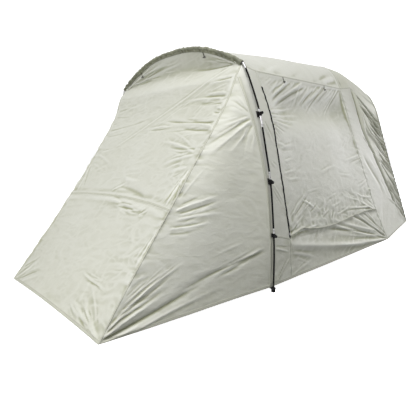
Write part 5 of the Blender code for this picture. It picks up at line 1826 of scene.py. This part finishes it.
class TENT_OT_door_zips(TentOperator, Operator):
    """Door zips: tape, coil teeth, slider, and the cloth flap over their upper end"""

    bl_idname = "tent.door_zips"
    bl_label = "Door zips"

    FLAP_START, ZIP_TOP = 1.616, 1.738
    TOOTH_CUT = np.zeros((3, 5, 2))

    def execute(self, context):
        for side, word in SIDES:
            wall = panel("wall", side)
            low, split, top = np.interp(
                (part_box(f"door_zip_{word}")[0].z + 0.002, self.FLAP_START, self.ZIP_TOP),
                wall.cut[:, ZIP_COLUMN, 1], np.arange(len(wall.cut)))
            patches = Patches()
            add_tape(patches, *within(wall, np.linspace(low, top, 330), ZIP_COLUMN), -0.0105, 0.0105,
                     0.0014)
            self.teeth(patches, wall, low + 1.0, top - 0.4)
            self.slider(patches, wall, low + 5.0)
            made = patches.make(f"door_zip_chain_{word}", "Zip tape", "Clip plastic", "Ferrule metal",
                                weld=0.00001, sharp=0.9)
            settle(made, "zip_black", f"door_zip_{word}")
            seam_tape(f"door_zip_flap_{word}", "tent_cloth", (*within(
                wall, np.linspace(split, top + 0.3, 60), ZIP_COLUMN), -0.013, 0.013, 0.0052),
                cloth="Sage ripstop")
        return {"FINISHED"}

    def teeth(self, patches, wall, low, high):
        """Two rows of coil teeth that mesh on the zip's centre line."""
        line = wall.at(np.linspace(low, high, 400), ZIP_COLUMN)
        travel, pitch = travelled(line.points), frame_settings().tooth_pitch
        marks = np.arange(0, travel[-1], pitch / 2)
        centre = between(marks, travel, line.points)
        up = unit(np.gradient(centre, axis=0))
        normal = unit(between(marks, travel, line.out))
        across = unit(np.cross(up, normal))
        for k, (c, u, n, w) in enumerate(zip(centre, up, normal, across)):
            middle = c + n * 0.0026 + w * (0.0013 if k % 2 else -0.0013)
            corners = np.array([u * a * pitch * 0.30 + n * b * 0.0011
                                for a, b in ((-1, -1), (-1, 1), (1, 1), (1, -1))])
            patches.grid(np.stack([middle - w * 0.0027 + corners * 0.6, middle + corners * 1.15,
                                   middle + w * 0.0027 + corners * 0.6]),
                         self.TOOTH_CUT, flip=True, ring=True, finish=1)

    def slider(self, patches, wall, row):
        there = wall.at(np.array([row, row + 1.0]), ZIP_COLUMN)
        place, up, normal = there.points[0], unit(there.points[1] - there.points[0]), there.out[0]
        axes = (unit(np.cross(up, normal)), up, normal)
        pull = place - up * 0.022 + normal * 0.0085
        # body, bridge and pull: centre, half sizes, squareness, finish
        for centre, half, power, label in (
                (place + normal * 0.0042, (0.0062, 0.0095, 0.0028), 3.5, 2),
                (place + normal * 0.0078, (0.0014, 0.0050, 0.0022), 3.0, 2),
                (pull - up * 0.010, (0.0045, 0.0165, 0.0018), 3.5, 1)):
            patches.grid(block(centre, axes, half, power), ring=True, finish=label)
        patches.grid(loop_rod(pull + up * 0.012, axes, (0.0036, 0.0075), 0.0009, 2.6),
                     ring=True, finish=2)


class TENT_OT_toggles(TentOperator, Operator):
    """Webbing tabs with cross bars that hold the rolled-up panels open"""

    bl_idname = "tent.toggles"
    bl_label = "Toggles"

    def execute(self, context):
        for word in ("left", "right"):
            self.toggle(f"arch_toggle_{word}", f"arch_toggle_tab_{word}", panel("front_upper"),
                        1, 0.058)
        for side, word in SIDES:
            for number in (1, 2):
                self.toggle(f"door_toggle_{word}_{number}", f"door_toggle_tab_{word}_{number}",
                            panel("wall", side), 0, 0.056)
        return {"FINISHED"}

    def toggle(self, cad_node, name, face, axis, length):
        """A tab that hangs from a panel's upper border, with a loop and a turned bar through it."""
        low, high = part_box(cad_node)
        border = face.points[-1, :, axis]
        column = float(np.interp((low[axis] + high[axis]) / 2, border, np.arange(len(border))))
        spots = [beside((face, float(len(face.points) - 1), column, (-1, 0)), d)
                 for d in np.linspace(0.004, length, 14)]
        path, out = (np.array([spot[k] for spot in spots]).reshape(-1, 3) for k in (0, 1))
        path = path + out * 0.0022
        along = unit(np.gradient(path, axis=0))
        across = unit(np.cross(along, out))
        normal = unit(np.cross(across, along))
        normal = np.where(np.sum(normal * out, axis=1, keepdims=True) < 0, -normal, normal)
        shape = flat_band(0.0046, 0.0042, 0.0012, 0.0008)
        strap = path[:, None] + across[:, None] * shape[:, :1] + normal[:, None] * shape[:, 1:]
        centre = path[-3] + normal[-3] * 0.0040
        turn = np.linspace(-1, 1, 19)
        radii = 0.0047 * (1 - np.abs(turn) ** 6 * 0.45) * (1 - 0.22 * np.exp(-(turn / 0.22) ** 2))
        bar = rod(centre + turn[:, None] * across[-3] * 0.0195, radii, 18, normal[-3])
        hole = loop_rod(centre, (along[-3], normal[-3], across[-3]), (0.0058, 0.0058), 0.0016)
        patches = Patches().grid(strap, ring=True, caps=True)
        patches.grid(bar, ring=True, caps=True, finish=1).grid(hole, ring=True)
        made = patches.make(name, "Toggle webbing", "Toggle grey",
                            weld=0.00001, closed=True, sharp=0.8)
        settle(made, "toggle_grey", cad_node)


class TENT_OT_studio(TentOperator, Operator):
    """Pale floor, soft lights and the camera at the photograph's angle"""

    bl_idname = "tent.studio"
    bl_label = "Studio"

    CAMERA_PLACE = (-3.181, -3.063, 1.240)
    YAW, PITCH, ROLL = 41.318, 10.171, -2.714
    LENS, SENSOR = 33.956, 36.0
    FLOOR_HALF, FLOOR_DROP = 60.0, 0.0015
    LIGHT_DISTANCE, LIGHT_SIZE = 8.0, 3.5
    MIDDLE = Vector((0.3, 0.0, 0.8))
    LIGHTS = (("key", (-0.35, -0.35, 0.87)), ("front", (-0.95, -0.10, 0.30)),
              ("side", (0.96, -0.24, 0.14)), ("near", (0.15, -0.88, 0.45)),
              ("far", (0.30, 0.86, 0.42)))

    def execute(self, context):
        scene, studio = context.scene, context.scene.tent_studio
        self.camera(scene)
        self.floor(scene, studio.floor)
        self.world(scene, studio.ambient)
        for name, way in self.LIGHTS:
            self.lamp(scene, f"{name}_light", Vector(way).normalized(), getattr(studio, name))
        scene.view_settings.view_transform = "Standard"
        return {"FINISHED"}

    def hold(self, scene, name, data):
        holder = bpy.data.objects.new(name, data)
        scene.collection.objects.link(holder)
        return holder

    def camera(self, scene):
        yaw, pitch, roll = (np.radians(v) for v in (self.YAW, self.PITCH, self.ROLL))
        forward = Vector((np.sin(yaw) * np.cos(pitch), np.cos(yaw) * np.cos(pitch), -np.sin(pitch)))
        right = Vector((np.cos(yaw), -np.sin(yaw), 0.0))
        up = right.cross(forward)
        eye = bpy.data.cameras.new("studio_camera")
        eye.lens, eye.sensor_width = self.LENS, self.SENSOR
        scene.camera = self.hold(scene, "studio_camera", eye)
        cos, sin = np.cos(roll), np.sin(roll)
        basis = Matrix((right * cos + up * sin, up * cos - right * sin, -forward)).transposed()
        scene.camera.matrix_world = Matrix.Translation(Vector(self.CAMERA_PLACE)) @ basis.to_4x4()

    def floor(self, scene, tone):
        mesh = bpy.data.meshes.new("pale_floor")
        half = self.FLOOR_HALF
        mesh.from_pydata([(-half, -half, 0), (half, -half, 0), (half, half, 0), (-half, half, 0)], [],
                         [(0, 1, 2, 3)])
        floor = self.hold(scene, "pale_floor", mesh)
        floor.location.z = -self.FLOOR_DROP
        start_finish("Pale floor", Roughness=0.95, Base_Color=(tone, tone, tone, 1.0),
                     Emission_Color=(1.0, 1.0, 1.0, 1.0), Emission_Strength=0.92)
        mesh.materials.append(bpy.data.materials["Pale floor"])
        floor.visible_diffuse = False

    def world(self, scene, ambient):
        """Weak light from all round, and a white ground behind the tent for the camera."""
        scene.world = bpy.data.worlds.new("studio_world")
        scene.world.use_nodes = True
        tree = scene.world.node_tree
        dim = feed(tree, tree.nodes["Background"],
                   {"Color": (0.97, 0.99, 1.0, 1.0), "Strength": ambient})
        seen = node(tree, "Background", {"Color": (1.0, 1.0, 1.0, 1.0), "Strength": 1.3})
        path = node(tree, "LightPath").outputs["Is Camera Ray"]
        both = node(tree, "MixShader", {0: path, 1: dim.outputs[0], 2: seen.outputs[0]})
        feed(tree, tree.nodes["World Output"], {"Surface": both.outputs[0]})

    def lamp(self, scene, name, way, power):
        light = bpy.data.lights.new(name, "AREA")
        light.shape, light.size = "DISK", self.LIGHT_SIZE
        light.color, light.energy = (1.0, 0.985, 1.03), power
        holder = self.hold(scene, name, light)
        holder.location = self.MIDDLE + way * self.LIGHT_DISTANCE
        holder.rotation_euler = (-way).to_track_quat("-Z", "Y").to_euler()


class TENT_PT_sidebar(Panel):
    """Lists the tent's settings and the operators that build it"""

    bl_idname = "TENT_PT_sidebar"
    bl_label = "Car tailgate tent"
    bl_space_type = "VIEW_3D"
    bl_region_type = "UI"
    bl_category = "Tent"

    def draw(self, context):
        for title in ("Cloth", "Frame", "Studio"):
            box = self.layout.box()
            box.label(text=title)
            settings = getattr(context.scene, f"tent_{title.lower()}")
            for key in settings.bl_rna.properties.keys():
                if key not in ("rna_type", "name"):
                    box.prop(settings, key)
        for operator in OPERATORS:
            self.layout.operator(operator.bl_idname)


OPERATORS = (TENT_OT_side_walls, TENT_OT_sleeve, TENT_OT_side_wings, TENT_OT_front_panels,
             TENT_OT_roof, TENT_OT_pole_tunnel, TENT_OT_poles, TENT_OT_clips, TENT_OT_feet,
             TENT_OT_door_zips, TENT_OT_toggles, TENT_OT_studio)
CLASSES = (TentClothSettings, TentFrameSettings, TentStudioSettings, *OPERATORS, TENT_PT_sidebar)


def register():
    for item in CLASSES:
        bpy.utils.register_class(item)
    bpy.types.Scene.tent_cloth = PointerProperty(type=TentClothSettings)
    bpy.types.Scene.tent_frame = PointerProperty(type=TentFrameSettings)
    bpy.types.Scene.tent_studio = PointerProperty(type=TentStudioSettings)


def unregister():
    del bpy.types.Scene.tent_cloth, bpy.types.Scene.tent_frame, bpy.types.Scene.tent_studio
    for item in reversed(CLASSES):
        bpy.utils.unregister_class(item)


def main():
    """Builds the whole tent."""
    register()
    bpy.ops.tent.side_walls()
    bpy.ops.tent.sleeve()
    bpy.ops.tent.side_wings()
    bpy.ops.tent.front_panels()
    bpy.ops.tent.roof()
    bpy.ops.tent.pole_tunnel()
    bpy.ops.tent.poles()
    bpy.ops.tent.clips()
    bpy.ops.tent.feet()
    bpy.ops.tent.door_zips()
    bpy.ops.tent.toggles()
    bpy.ops.tent.studio()


if __name__ == "__main__":
    main()
